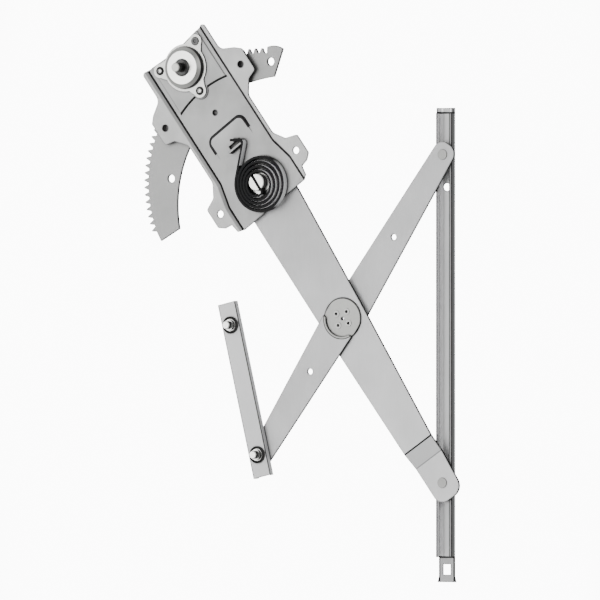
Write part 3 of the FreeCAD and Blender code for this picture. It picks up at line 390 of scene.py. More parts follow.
def round_the_ramp(tree, down, across):
    """A line round the ramp's upper end, where the distance from a rounded rectangle is near zero.

    That distance is the length of what lies beyond the corner's centre both ways, less the radius, or along
    the straight sides simply how far the spot lies beyond the side.
    """
    size = add_node(tree, "ShaderNodeMath", {"operation": "ABSOLUTE"}, {0: across}).outputs[0]
    beside = add_node(tree, "ShaderNodeMath", {"operation": "SUBTRACT"},
                      {0: size, 1: (RAMP_HALF_WIDTH - RAMP_CORNER) * MM}).outputs[0]
    above = add_node(tree, "ShaderNodeMath", {"operation": "SUBTRACT"},
                     {0: (RAMP_TOP + RAMP_CORNER) * MM, 1: down}).outputs[0]
    outward = [add_node(tree, "ShaderNodeMath", {"operation": "MAXIMUM"}, {0: way, 1: 0.0}).outputs[0]
               for way in (beside, above)]
    corner = add_node(tree, "ShaderNodeCombineXYZ", None, {0: outward[0], 1: outward[1]}).outputs[0]
    far = add_node(tree, "ShaderNodeVectorMath", {"operation": "LENGTH"}, {0: corner}).outputs["Value"]
    line = line_at(tree, far, (RAMP_CORNER + 0.4) * MM, RAMP_LINE * MM)
    return where_all(tree, line, between(tree, down, (RAMP_TOP - 3) * MM, RAMP_LINE_END * MM))


def press_marks(tree, place, tone):
    """The panel's darker tone by its depth, and the lines of painted shade on its front."""
    depth = add_node(tree, "ShaderNodeSeparateXYZ", None, {0: place}).outputs["Y"]
    sunk = add_node(tree, "ShaderNodeMapRange", None, {0: depth, 1: 0.4 * MM, 2: 0.8 * PANEL_DEPTH * MM})
    duller = add_node(tree, "ShaderNodeMix", {"data_type": "RGBA", "blend_type": "MULTIPLY"},
                      {0: sunk.outputs[0], 6: tone, 7: colour("#E6E6E6")}).outputs[2]
    down = run_along(tree, place, pivot, down_plate)
    across = run_along(tree, place, pivot, across_plate)
    arc = line_at(tree, from_axis(tree, place, pivot), (PAD_ARC - 0.3) * MM, SHADE_LINE_WIDTH * MM)
    in_lobe = add_node(tree, "ShaderNodeMath", {"operation": "COMPARE"},
                       {0: across, 1: 0.0, 2: PAD_LOBE * MM})
    free = add_node(tree, "ShaderNodeMath", {"operation": "SUBTRACT"}, {0: 1.0, 1: in_lobe.outputs[0]})
    width = (PAD_HALF_WIDTH + 1.0) * MM
    low, high = (run * MM for run in PAD_ARC_SPAN)
    arc = where_all(tree, arc, free.outputs[0], between(tree, across, -width, width),
                    between(tree, down, low, high))
    lines = where_any(tree, arc, round_the_ramp(tree, down, across))
    front = between(tree, depth, 1.5 * MM, (PANEL_DEPTH + 0.1) * MM)
    # Painted shade: the step's foot, the pad's arc and the ramp's outline are coloured near black.
    oil = where_any(tree, where_all(tree, lines, front), foot_of_step(tree, depth))
    return add_node(tree, "ShaderNodeMix", {"data_type": "RGBA"},
                    {0: oil, 6: duller, 7: colour("#0C0C0C")}).outputs[2]


def beside_the_pad(tree, place):
    """0 along the straight sides of the pad, which run out into the panel and get no painted edge or corner
    shade, and 1 elsewhere.
    """
    across = run_along(tree, place, pivot, across_plate)
    down = run_along(tree, place, pivot, down_plate)
    size = add_node(tree, "ShaderNodeMath", {"operation": "ABSOLUTE"}, {0: across}).outputs[0]
    low, high = (run * MM for run in PAD_SIDE_SPAN)
    side = where_all(tree, between(tree, size, (PAD_HALF_WIDTH - 1.5) * MM, (PAD_HALF_WIDTH + 2.5) * MM),
                     between(tree, down, low, high))
    return add_node(tree, "ShaderNodeMath", {"operation": "SUBTRACT"}, {0: 1.0, 1: side}).outputs[0]


# %% [markdown]
# The lift arm is bent twice before its end, and each bend has a line of painted shade across it: a sharp dark
# one where the strip turns down, and a faint one where it turns back. The arm is also painted paler towards
# that end, as painted light. The plate of the crossed arm is a little darker round the centre pivot, and has
# a dark line of painted shadow round its rim.

# %% Marks of the arms
# Millimetres, and along the arm they are counted from the main pivot.
FIRST_FOLD = 316.5
SECOND_FOLD = 334.0
SHARP_LINE = 1.7
FAINT_LINE = 1.2
LIT_END_SPAN = (50.0, 300.0)
BOSS_RADIUS = 20.75
BOSS_LINE = 1.1
along_arm = (centre - pivot).normalized()


def fold_shade_and_lit_end(tree, place, tone):
    """A tone painted paler towards the end of the lift arm as painted light, with two fold lines of painted
    shade.
    """
    run = run_along(tree, place, pivot, along_arm)
    # Painted light: the arm is coloured paler towards its end.
    far = add_node(tree, "ShaderNodeMapRange", None, {0: run, 1: LIT_END_SPAN[0] * MM, 2: LIT_END_SPAN[1] * MM})
    paler = add_node(tree, "ShaderNodeMix", {"data_type": "RGBA", "blend_type": "MULTIPLY"},
                     {0: far.outputs[0], 6: tone, 7: (1.22, 1.22, 1.22, 1.0)}).outputs[2]
    # Painted shade: dark lines across the arm at its two folds.
    sharp = line_at(tree, run, FIRST_FOLD * MM, SHARP_LINE * MM)
    faint = line_at(tree, run, SECOND_FOLD * MM, FAINT_LINE * MM)
    folded = add_node(tree, "ShaderNodeMix", {"data_type": "RGBA"},
                      {0: sharp, 6: paler, 7: colour("#101010")}).outputs[2]
    return add_node(tree, "ShaderNodeMix", {"data_type": "RGBA"},
                    {0: faint, 6: folded, 7: colour("#858585")}).outputs[2]


def drawn_boss(tree, place, tone):
    """The darker disc round the centre pivot, with a dark line of painted shadow round its rim."""
    far = from_axis(tree, place, centre)
    disc = add_node(tree, "ShaderNodeMapRange", None,
                    {0: far, 1: BOSS_RADIUS * MM, 2: (BOSS_RADIUS - 1.0) * MM})
    duller = add_node(tree, "ShaderNodeMix", {"data_type": "RGBA", "blend_type": "MULTIPLY"},
                      {0: disc.outputs[0], 6: tone, 7: colour("#EEEEEA")}).outputs[2]
    # Painted shadow: a dark line round the rim of the disc.
    rim = line_at(tree, far, (BOSS_RADIUS - 0.4) * MM, BOSS_LINE * MM)
    return add_node(tree, "ShaderNodeMix", {"data_type": "RGBA"},
                    {0: rim, 6: duller, 7: colour("#4A4A48")}).outputs[2]


# %% [markdown]
# The rails are bent, not cut, so their sides are plated faces too. Their inner walls, and the floor or lip
# backs near them, are painted bright as painted light, and their outer walls grey, which on the glass rail is
# painted shade. A dark line of painted shade runs along each bend, on the glass rail a wider one along the
# lower bend, and another lies across it where its lips stop short of its ends. Its tongue is darker and has
# thin dark borders of painted shade, and its upper lip is a little darker.

# %% Marks of the rails
# Millimetres, and the halves are counted across a rail from its middle line.
LIP_WIDTH = 3.3
LIP_SETBACK = 5.0
LIPS_LENGTH = 447.3
LIP_EDGE = 0.8
RAIL_HALF = 9.0
GUIDE_HALF = 9.9
BEND = 1.2
LOW_BEND = 1.9
CROSS_LINE = 1.8
TONGUE_BORDER = 1.6
FRONT_DEPTH = 0.8
OUTER_WALL = 0.6
INNER_WALL = 3.0
FLOOR_DEPTH = (5.6, 6.6)
FLOOR_MARGIN = 5.0
WALL_LOOKS = 0.5
rail_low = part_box("glass_rail")[0]
guide_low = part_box("guide_rail")[0]
rail_middle = Vector(joints["upper_roller_turn"]["pos_m"])
guide_middle = Vector(joints["guide_swivel"]["pos_m"])
along_guide = Vector(joints["guide_slide"]["axis"])
across_guide = Vector((-along_guide.z, 0, along_guide.x))


def channel_sides(tree, tone, depth, side, half, front, outside):
    """Grey outer walls and inner walls painted bright, told by how far the wall stands from the middle.

    Painted bright too is what lies six millimetres behind the front and near the sides: the floor of the
    glass rail, and the back of the guide rail's lips. This brightness is painted light, where the channel is
    in shade.
    """
    size = add_node(tree, "ShaderNodeMath", {"operation": "ABSOLUTE"}, {0: side}).outputs[0]
    look = add_node(tree, "ShaderNodeMath", {"operation": "ABSOLUTE"}, {0: facing(tree)["Y"]})
    wall = add_node(tree, "ShaderNodeMath", {"operation": "LESS_THAN"},
                    {0: look.outputs[0], 1: WALL_LOOKS}).outputs[0]
    outer = where_all(tree, wall, between(tree, size, (half - OUTER_WALL) * MM, (half + 1.0) * MM))
    inner = where_all(tree, wall, between(tree, size, (half - INNER_WALL) * MM, (half - OUTER_WALL) * MM))
    greyed = add_node(tree, "ShaderNodeMix", {"data_type": "RGBA"},
                      {0: outer, 6: tone, 7: colour(outside)}).outputs[2]
    floor = where_all(tree, between(tree, depth, front + FLOOR_DEPTH[0] * MM, front + FLOOR_DEPTH[1] * MM),
                      between(tree, size, (half - FLOOR_MARGIN) * MM, (half + 1) * MM))
    # Painted light: inner walls and the floor near them are coloured near white.
    painted_light_inside = where_any(tree, inner, floor)
    return add_node(tree, "ShaderNodeMix", {"data_type": "RGBA"},
                    {0: painted_light_inside, 6: greyed, 7: colour("#F2F2F2")}).outputs[2]


def glass_rail_marks(tree, place, tone):
    """Lines of painted shade where the lips end, along the tongue's borders, the lip's edge and the bends,
    and a darker tongue and upper lip.
    """
    depth = add_node(tree, "ShaderNodeSeparateXYZ", None, {0: place}).outputs["Y"]
    run = run_along(tree, place, (rail_low[0], 0, 0), (1, 0, 0))
    side = run_along(tree, place, rail_middle, (0, 0, 1))
    size = add_node(tree, "ShaderNodeMath", {"operation": "ABSOLUTE"}, {0: side}).outputs[0]
    # Painted shade: the glass rail's outer walls are coloured dark grey.
    tone = channel_sides(tree, tone, depth, side, RAIL_HALF, rail_low[1], "#666666")
    tongue = between(tree, run, LIPS_LENGTH * MM, 1.0)
    tone = add_node(tree, "ShaderNodeMix", {"data_type": "RGBA"},
                    {0: tongue, 6: tone, 7: colour("#989898")}).outputs[2]
    lip = between(tree, depth, rail_low[1] - MM, rail_low[1] + FRONT_DEPTH * MM)
    retoned = where_all(tree, lip, between(tree, side, (RAIL_HALF - LIP_WIDTH) * MM, (RAIL_HALF + 1) * MM))
    varied = add_node(tree, "ShaderNodeMix", {"data_type": "RGBA", "blend_type": "MULTIPLY"},
                    {0: retoned, 6: tone, 7: colour("#BABABA")}).outputs[2]
    borders = where_all(tree, tongue,
                        between(tree, size, (RAIL_HALF - TONGUE_BORDER) * MM, (RAIL_HALF + 2) * MM))
    lip_edge = where_all(tree, lip,
                         line_at(tree, side, (RAIL_HALF - LIP_WIDTH + LIP_EDGE / 2) * MM, LIP_EDGE * MM))
    low_bend = between(tree, side, -(RAIL_HALF + 1) * MM, -(RAIL_HALF - LOW_BEND) * MM)
    high_bend = line_at(tree, side, (RAIL_HALF - 0.5) * MM, BEND * MM)
    bend = where_all(tree, lip, where_any(tree, low_bend, high_bend))
    # Painted shade: dark lines across the lips' ends and along the tongue's borders, the lip's edge and the
    # bends.
    dark = where_any(tree, line_at(tree, run, LIP_SETBACK * MM, CROSS_LINE * MM),
                     line_at(tree, run, LIPS_LENGTH * MM, CROSS_LINE * MM), borders, lip_edge, bend)
    return add_node(tree, "ShaderNodeMix", {"data_type": "RGBA"},
                    {0: dark, 6: varied, 7: colour("#161616")}).outputs[2]


def guide_rail_marks(tree, place, tone):
    """A dark line of painted shade along both bends of the guide rail, whose floor is towards the door."""
    depth = add_node(tree, "ShaderNodeSeparateXYZ", None, {0: place}).outputs["Y"]
    side = run_along(tree, place, guide_middle, across_guide)
    size = add_node(tree, "ShaderNodeMath", {"operation": "ABSOLUTE"}, {0: side}).outputs[0]
    tone = channel_sides(tree, tone, depth, side, GUIDE_HALF, guide_low[1], "#C0C0C0")
    floor = between(tree, depth, guide_low[1] - MM, guide_low[1] + FRONT_DEPTH * MM)
    # Painted shade: a dark line along each bend.
    bend = where_all(tree, floor, line_at(tree, size, (GUIDE_HALF - 0.2) * MM, BEND * MM))
    return add_node(tree, "ShaderNodeMix", {"data_type": "RGBA"},
                    {0: bend, 6: tone, 7: colour("#3C3C3C")}).outputs[2]


# %% [markdown]
# The small turned and headed pieces are finished apart. A rivet head, stud or drawn cup is round, so its
# side can't be told by the Y part alone being small, but the same rule still makes its rim darker than its
# top. That dark flank is painted shade.

# %% Bright zinc on drawn and headed steel
def bright_zinc(name, face, flank, roughness=0.30, corner=(1.6, 0.9), crown=(0.85, 0.30), own_marks=None):
    """Drawn or cold-headed steel in bright zinc: fine speckle 0.5 mm across, and flanks painted darker as
    shade.

    The crown gives the Y part of the direction where the flank's tone begins and where it is full.
    """
    made, tree, output, place = finish_named(name)
    speckle = add_node(tree, "ShaderNodeTexNoise", None, {"Vector": place, "Scale": 2000.0, "Detail": 2.0})
    bath = add_node(tree, "ShaderNodeTexNoise", None, {"Vector": place, "Scale": 120.0, "Detail": 2.0})
    tone = add_node(tree, "ShaderNodeMix", {"data_type": "RGBA"},
                    {0: bath.outputs["Fac"], 6: shade(face, -0.08), 7: shade(face, 0.08)}).outputs[2]
    if own_marks:
        tone = own_marks(tree, place, tone)
    # Painted shade: the flanks are coloured dark.
    edged = add_node(tree, "ShaderNodeMix", {"data_type": "RGBA"},
                     {0: on_cut_edges(tree, *crown), 6: tone, 7: colour(flank)}).outputs[2]
    reach, depth = corner
    # Painted shade: corners are darkened to near black.
    corner_shaded = add_node(tree, "ShaderNodeMix", {"data_type": "RGBA"},
                      {0: in_corners(tree, reach * MM, depth), 6: edged, 7: colour("#0E0E0E")}).outputs[2]
    rough = add_node(tree, "ShaderNodeMapRange", None,
                     {0: speckle.outputs["Fac"], 3: roughness - 0.06, 4: roughness + 0.08})
    bump = add_node(tree, "ShaderNodeBump", None,
                    {"Height": speckle.outputs["Fac"], "Strength": 0.15, "Distance": 0.01 * MM})
    shader = add_node(tree, "ShaderNodeBsdfPrincipled", None, {
        "Base Color": corner_shaded, "Roughness": rough.outputs[0], "Normal": bump.outputs[0], "Metallic": 0.9})
    tree.links.new(shader.outputs[0], output.inputs["Surface"])
    return made


# %% [markdown]
# Three small marks of painted shade belong to such headed and drawn pieces. The mouth of the cup is painted
# dark round the crank shaft. Each housing rivet has a black ring of painted shadow on its head, and one head
# is painted dark grey all over. A black ring of painted shadow lies on the collar of each stud that bolts the
# guide rail to the door, and the side of its thread that looks along Z is painted black as shade.

# %% Marks of the cup, its rivets and the guide studs
# Millimetres: radii, and the last two pairs are places along Y.
MOUTH_RADIUS = 8.8
LOBE_CIRCLE = 29.0
FLANGE_FROM = 20.9
RIVET_RING = (2.0, 4.6)
SHADE_RING = (6.0, 8.9)
SHADE_COLLAR = (-3.2, -2.0)
SHADE_THREAD = (-10.6, -6.2)
guide_mount = next(mount for mount in frame["record"]["mounts"] if mount["name"] == "guide_studs")
guide_half_pitch = guide_mount["dims"]["pcd_mm"] / 2 * MM
stud_places = [Vector(guide_mount["pos_m"]) + along_guide * guide_half_pitch * way for way in (-1, 1)]
lobe_turns = [plate_turn + k * math.tau / 3 for k in range(3)]
lobe_places = [crank + Vector((math.cos(angle), 0, math.sin(angle))) * LOBE_CIRCLE * MM
               for angle in lobe_turns]


def nearest_axis(tree, place, axes):
    """How far a spot lies from the nearest of several axes along Y, in metres."""
    near = from_axis(tree, place, axes[0])
    for axis in axes[1:]:
        near = add_node(tree, "ShaderNodeMath", {"operation": "MINIMUM"},
                        {0: near, 1: from_axis(tree, place, axis)}).outputs[0]
    return near


def mouth_shade(tree, place, tone):
    """Painted shade on the cup's top, within a radius of the crank, and a flange duller than the drawn top.
    """
    out = from_axis(tree, place, crank)
    near = between(tree, out, -1.0, MOUTH_RADIUS * MM)
    dull = add_node(tree, "ShaderNodeMix", {"data_type": "RGBA"},
                    {0: between(tree, out, FLANGE_FROM * MM, 1.0), 6: tone, 7: colour("#B2B2AF")}).outputs[2]
    # Painted shade: the cup's mouth is coloured dark.
    return add_node(tree, "ShaderNodeMix", {"data_type": "RGBA"},
                    {0: near, 6: dull, 7: colour("#2E2E2D")}).outputs[2]


def ringed_rivets(tree, place, tone):
    """A black ring of painted shadow on each head, and one head painted dark grey all over as painted shade.
    """
    low, high = (radius * MM for radius in RIVET_RING)
    ring = between(tree, nearest_axis(tree, place, lobe_places), low, high)
    shaded_head = between(tree, from_axis(tree, place, lobe_places[1]), -1.0, high)
    # Painted shadow: a black ring on each rivet head, and one head painted dark grey.
    ringed = add_node(tree, "ShaderNodeMix", {"data_type": "RGBA"},
                      {0: ring, 6: tone, 7: colour("#141414")}).outputs[2]
    return add_node(tree, "ShaderNodeMix", {"data_type": "RGBA"},
                    {0: shaded_head, 6: ringed, 7: colour("#454545")}).outputs[2]


def stud_shade(tree, place, tone):
    """A black ring of painted shadow on each collar's front, and painted shade on the thread's side that
    looks along Z.
    """
    low, high = (radius * MM for radius in SHADE_RING)
    depth = add_node(tree, "ShaderNodeSeparateXYZ", None, {0: place}).outputs["Y"]
    ring = where_all(tree, between(tree, nearest_axis(tree, place, stud_places), low, high),
                     between(tree, depth, SHADE_COLLAR[0] * MM, SHADE_COLLAR[1] * MM))
    one_side = add_node(tree, "ShaderNodeMapRange", None, {0: facing(tree)["Z"], 1: 0.1, 2: 0.3})
    patch = where_all(tree, one_side.outputs[0],
                      between(tree, depth, SHADE_THREAD[0] * MM, SHADE_THREAD[1] * MM))
    # Painted shade: the collar ring and one side of the thread are coloured black.
    return add_node(tree, "ShaderNodeMix", {"data_type": "RGBA"},
                    {0: where_any(tree, ring, patch), 6: tone, 7: colour("#0E0E0E")}).outputs[2]


# %% [markdown]
# Phosphated steel and sintered bronze hold oil in a fine, matt, crystalline skin. To the eye that is a dark
# tone with a grain of about 0.3 mm and a little sheen. The spring strip has the same grain, but its black is
# the dry oxide that tempering in oil leaves. An oxide is no metal, so there the metallic part, the film of
# oil and most of the gloss go down to nothing or nearly so.

# %% Oiled dark steels and bronze
def oiled_skin(name, face, roughness=0.42, metallic=0.7, oil=0.25, relief=0.3, gloss=0.5, own_marks=None):
    """A matt crystalline skin: speckle 0.3 mm across, under as much of a thin clear film as oil says."""
    made, tree, output, place = finish_named(name)
    speckle = add_node(tree, "ShaderNodeTexNoise", None, {"Vector": place, "Scale": 3300.0, "Detail": 2.0})
    smear = add_node(tree, "ShaderNodeTexNoise", None, {"Vector": place, "Scale": 150.0, "Detail": 3.0})
    both = add_node(tree, "ShaderNodeMath", {"operation": "MULTIPLY"},
                    {0: speckle.outputs["Fac"], 1: smear.outputs["Fac"]})
    thin = add_node(tree, "ShaderNodeMapRange", None, {0: both.outputs[0], 1: 0.12, 2: 0.40})
    tone = add_node(tree, "ShaderNodeMix", {"data_type": "RGBA"},
                    {0: thin.outputs[0], 6: shade(face, -0.3), 7: shade(face, 0.4)}).outputs[2]
    if own_marks:
        tone = own_marks(tree, place, tone)
    rough = add_node(tree, "ShaderNodeMapRange", None,
                     {0: smear.outputs["Fac"], 3: roughness - 0.1, 4: roughness + 0.1})
    bump = add_node(tree, "ShaderNodeBump", None,
                    {"Height": speckle.outputs["Fac"], "Strength": relief, "Distance": 0.02 * MM})
    shader = add_node(tree, "ShaderNodeBsdfPrincipled", None, {
        "Base Color": tone, "Roughness": rough.outputs[0], "Normal": bump.outputs[0],
        "Metallic": metallic, "Coat Weight": oil, "Coat Roughness": 0.3, "Specular IOR Level": gloss})
    tree.links.new(shader.outputs[0], output.inputs["Surface"])
    return made


# %% [markdown]
# The inner turns of the flat coil are painted bright on their outer sides, as painted light. That bright line
# beside each black edge is what makes single turns readable in a picture. The outermost turn and the straight
# run are painted grey on the side that looks along Z, as painted light too.

# %% Painted light on the outside of the coil
# Millimetres: radii from the coil's centre, and the last two are places along Y.
COIL_SHIFT = 3.0
COIL_REACH = 26.2
LIT_SIDE_FROM = 28.7
LIT_SIDE_TO = 100.0
LIT_FRONT = -5.0
LIT_DEPTH = 0.6
coil_centre = pivot + along_arm * COIL_SHIFT * MM


def painted_light_outside(tree, place, tone):
    """Painted light: near white on the front of each inner turn's outer side, and grey on one side beyond.

    The way out from the coil's centre and the surface's own direction are compared: their product is near 1
    on an outer side, near 0 on the strip's edges, and near -1 on an inner side. The grey side is the one
    that looks along Z.
    """
    out = add_node(tree, "ShaderNodeVectorMath", {"operation": "SUBTRACT"}, {0: place, 1: coil_centre})
    flat = add_node(tree, "ShaderNodeVectorMath", {"operation": "MULTIPLY"},
                    {0: out.outputs[0], 1: (1, 0, 1)})
    far = add_node(tree, "ShaderNodeVectorMath", {"operation": "LENGTH"},
                   {0: flat.outputs[0]}).outputs["Value"]
    way = add_node(tree, "ShaderNodeVectorMath", {"operation": "NORMALIZE"}, {0: flat.outputs[0]})
    direction = add_node(tree, "ShaderNodeNewGeometry").outputs["True Normal"]
    match = add_node(tree, "ShaderNodeVectorMath", {"operation": "DOT_PRODUCT"},
                     {0: way.outputs[0], 1: direction}).outputs["Value"]
    outer = add_node(tree, "ShaderNodeMapRange", None, {0: match, 1: 0.86, 2: 0.94}).outputs[0]
    in_coil = between(tree, far, 0.0, COIL_REACH * MM)
    depth = add_node(tree, "ShaderNodeSeparateXYZ", None, {0: place}).outputs["Y"]
    near = between(tree, depth, LIT_FRONT * MM, LIT_DEPTH * MM)
    # Painted light: the front of each inner turn's outer side is coloured near white.
    retoned = add_node(tree, "ShaderNodeMix", {"data_type": "RGBA"},
                      {0: where_all(tree, outer, in_coil, near), 6: tone, 7: colour("#FAFAFA")}).outputs[2]
    # Painted light: the side of the outer turn and straight run that looks along Z is coloured grey.
    side = add_node(tree, "ShaderNodeMapRange", None, {0: facing(tree)["Z"], 1: 0.5, 2: 0.8})
    lit_side = where_all(tree, side.outputs[0], between(tree, far, LIT_SIDE_FROM * MM, LIT_SIDE_TO * MM))
    return add_node(tree, "ShaderNodeMix", {"data_type": "RGBA"},
                    {0: lit_side, 6: retoned, 7: colour("#BEBEBE")}).outputs[2]


# %% [markdown]
# The rollers are natural nylon, injection moulded: milky, a little translucent at the rims, clouded where
# the melt met, and grey with painted shade in the corners.

# %% Moulded nylon
def moulded_nylon(name, face):
    """Natural nylon: clouds 6 mm across, softly shining, with painted shade in the corners."""
    made, tree, output, place = finish_named(name)
    cloud = add_node(tree, "ShaderNodeTexNoise", None, {"Vector": place, "Scale": 170.0, "Detail": 2.0})
    tone = add_node(tree, "ShaderNodeMix", {"data_type": "RGBA"},
                    {0: cloud.outputs["Fac"], 6: shade(face, -0.08), 7: shade(face, 0.05)}).outputs[2]
    # Painted shade: corners are darkened to a dark grey.
    nylon_corner_shade = add_node(tree, "ShaderNodeMix", {"data_type": "RGBA"},
                       {0: in_corners(tree, 1.5 * MM, 0.6), 6: tone, 7: colour("#55524A")}).outputs[2]
    shader = add_node(tree, "ShaderNodeBsdfPrincipled", None, {
        "Base Color": nylon_corner_shade, "Roughness": 0.42, "IOR": 1.53, "Subsurface Weight": 0.12})
    shader.inputs["Subsurface Scale"].default_value = 0.6 * MM
    tree.links.new(shader.outputs[0], output.inputs["Surface"])
    return made


# %% [markdown]
# Each piece wears the finish of its slot, which stands for what it is made of. Pieces with marks or tones of
# their own, much of it painted shade and painted light, have a finish of their own. The turns of the grain's
# noise differ, so that pieces which cross don't repeat each other.

# %% Dress the nodes
PLATE_GRAIN = math.radians(-36)
LIFT_GRAIN = math.radians(34)
CROSSED_GRAIN = math.radians(-34)
GUIDE_GRAIN = math.radians(-13)
finishes = {
    "plate_steel": satin_zinc("satin_zinc_pressing", "#B0B0AF", "#242424", cloud=0.10, cloud_size=28.0,
                              turned=PLATE_GRAIN, own_marks=press_marks, spared=beside_the_pad),
    "arm_steel": satin_zinc("satin_zinc_arm_strip", "#B0B0B0", "#2C2C2C", turned=LIFT_GRAIN),
    # The sector's long corner reach paints a soft shadow of the plate on it.
    "gear_steel": satin_zinc("satin_zinc_blanked_sector", "#9C9C9B", "#333333", cloud_size=60.0,
                             corner=(7.0, 0.9)),
    "rail_steel": satin_zinc("satin_zinc_rolled_channel", "#B4B4B4", None, cloud_size=70.0,
                             corner=(2.6, 0.15), own_marks=glass_rail_marks),
    "housing_steel": bright_zinc("bright_zinc_drawn_cup", "#E6E6E2", "#2C2C2B", crown=(0.985, 0.80),
                                 own_marks=mouth_shade),
    "rivet_steel": bright_zinc("bright_zinc_headed_steel", "#C9C9C6", "#383838"),
    "dark_steel": oiled_skin("phosphated_steel", "#353534"),
    "spring_steel": oiled_skin("oil_tempered_strip", "#0D0D0E", roughness=0.6, metallic=0.0, oil=0.0,
                               relief=0.05, gloss=0.12, own_marks=painted_light_outside),
    "bush_bronze": oiled_skin("sintered_bronze", "#9A7A4A", metallic=1.0, oil=0.1),
    "roller_nylon": moulded_nylon("moulded_nylon", "#DAD8CC"),
}
# Painted shade: the ends of the roller studs are a darker grey, as a dimple in shade looks.
riveted_end = bright_zinc("satin_zinc_riveted_end", "#868684", "#3C3C3C", roughness=0.5, crown=(0.98, 0.6))
own_finishes = {
    "lift_arm": satin_zinc("satin_zinc_lift_arm", "#AEAEAE", "#262626", turned=LIFT_GRAIN,
                           own_marks=fold_shade_and_lit_end),
    "balance_arm_front": satin_zinc("satin_zinc_drawn_arm", "#B0B0B0", "#2C2C2C", turned=CROSSED_GRAIN,
                                    own_marks=drawn_boss),
    "guide_rail": satin_zinc("satin_zinc_guide_channel", "#BEBEBE", None, cloud_size=60.0,
                             turned=GUIDE_GRAIN, corner=(2.6, 0.4), own_marks=guide_rail_marks),
    "guide_studs": bright_zinc("bright_zinc_threaded_stud", "#D2D2CF", "#6A6A68", own_marks=stud_shade),
    "crank_shaft": bright_zinc("ground_shaft_end", "#A6A6A2", "#2A2A29", roughness=0.35),
    "housing_rivets": bright_zinc("headed_housing_rivet", "#C4C4C2", "#202020", own_marks=ringed_rivets),
    "centre_rivets": bright_zinc("satin_tubular_rivet", "#A0A09E", "#0C0C0C", roughness=0.5),
    "lift_roller_stud": riveted_end,
    "upper_roller_stud": riveted_end,
    "lower_roller_stud": riveted_end,
}
slots = {entry["node"]: entry["material_slot"] for entry in frame["record"]["subparts"]}
for name, node in frame["nodes"].items():
    node.data.materials.clear()
    node.data.materials.append(own_finishes.get(name, finishes[slots[name]]))
print("finishes", len(finishes) + len(own_finishes))

# %% [markdown]
# The counterbalance spring is a flat black strip on edge. Its inner end sits in the slot of the pivot stud
# and its outer end hooks over a tab of the plate. One swept strip would tear when the arm turns, so it is
# made in three lengths that meet face to face: a tang that turns with the arm, a first half turn between
# arm and plate that is attached to neither, and the coil that stays on the plate.

# %% Rows of rings into a piece
def ringed_piece(name, points, ring, ends, sharp, finish):
    """A piece whose points are rows of closed rings. Each row is joined to the next, and ends are added."""
    rows = len(points) // ring
    i, j = np.meshgrid(np.arange(rows - 1), np.arange(ring), indexing="ij")
    a, b = i * ring + j, i * ring + (j + 1) % ring
    faces = np.stack((a, b, b + ring, a + ring), axis=-1).reshape(-1, 4).tolist()
    mesh = bpy.data.meshes.new(name)
    mesh.from_pydata(points.tolist(), [], faces + ends)
    mesh.validate()
    mesh.shade_smooth()
    mesh.set_sharp_from_angle(angle=sharp)
    mesh.materials.append(finish)
    piece = bpy.data.objects.new(name, mesh)
    bpy.context.collection.objects.link(piece)
    return piece


# %% Spring strip
# Millimetres. The hook's place is counted along and across the plate from the main pivot.
STRIP_GAUGE = 2.6
STRIP_HEIGHT = 6.6
STRIP_LOW = -2.8
STRIP_CORNER = 0.5
CORNER_POINTS = 4
INNER_TIGHT = 12.9
INNER_OPEN = 14.2
TIGHT_PITCH = 3.125
OPEN_PITCH = 5.03
COIL_TURNS = 4
TANG_BACK = 7.0
STRIP_BEND = 3.0
HOOK_U = -43.3
HOOK_V = 12.8
HOOK_LEG = 15.0
HOOK_LEG_TURN = math.radians(234.0)
ARC_STEP = math.radians(4.0)
STRIP_SHARP = math.radians(40)
SAME_PLACE = 1e-6

arm_turn = math.atan2(centre.z - pivot.z, centre.x - pivot.x)


def unit(angle):
    return np.array((math.cos(angle), math.sin(angle)))


along = unit(arm_turn)
sideways = unit(arm_turn + math.pi / 2)


def arc_line(middle, radius, start, sweep):
    """Points of an arc: its middle plus the radius times the direction, from start on through the sweep."""
    count = max(3, int(abs(sweep) / ARC_STEP))
    angles = start + sweep * np.linspace(0, 1, count + 1)
    return middle + radius * np.column_stack((np.cos(angles), np.sin(angles)))


def angle_of(vector):
    return math.atan2(vector[1], vector[0])


def half_circle(start, end):
    """Half a turn, clockwise in the plan, between two points."""
    middle = (start + end) / 2
    return arc_line(middle, np.linalg.norm(end - start) / 2, angle_of(start - middle), -math.pi)


def strip(name, line):
    """A rounded rectangle carried along a plan line, standing on edge.

    Each section stands at right angles to the line's own direction there, which is the difference of the
    neighbouring points, and both ends are closed with one flat face.
    """
    keep = np.r_[True, np.linalg.norm(np.diff(line, axis=0), axis=1) > SAME_PLACE]
    line = line[keep]
    forward = np.gradient(line, axis=0)
    forward /= np.linalg.norm(forward, axis=1)[:, None]
    side = np.column_stack((-forward[:, 1], forward[:, 0]))
    corner = np.linspace(0, math.pi / 2, CORNER_POINTS)
    section = []
    half_wide = STRIP_GAUGE / 2 - STRIP_CORNER
    half_high = STRIP_HEIGHT / 2 - STRIP_CORNER
    for k, (sx, sy) in enumerate(((1, 1), (-1, 1), (-1, -1), (1, -1))):
        angles = corner + k * math.pi / 2
        section.append(np.column_stack((sx * half_wide + STRIP_CORNER * np.cos(angles),
                                        sy * half_high + STRIP_CORNER * np.sin(angles))))
    section = np.vstack(section)
    flat = line[:, None, :] + side[:, None, :] * section[None, :, :1]
    high = np.broadcast_to(STRIP_LOW + STRIP_HEIGHT / 2 + section[:, 1], flat.shape[:2])
    points = np.stack((flat[..., 0], -high, flat[..., 1]), axis=-1).reshape(-1, 3) * MM + np.array(pivot)
    rows, ring = flat.shape[:2]
    ends = [list(range(ring))[::-1], [(rows - 1) * ring + k for k in range(ring)]]
    return ringed_piece(name, points, ring, ends, STRIP_SHARP, finishes["spring_steel"])


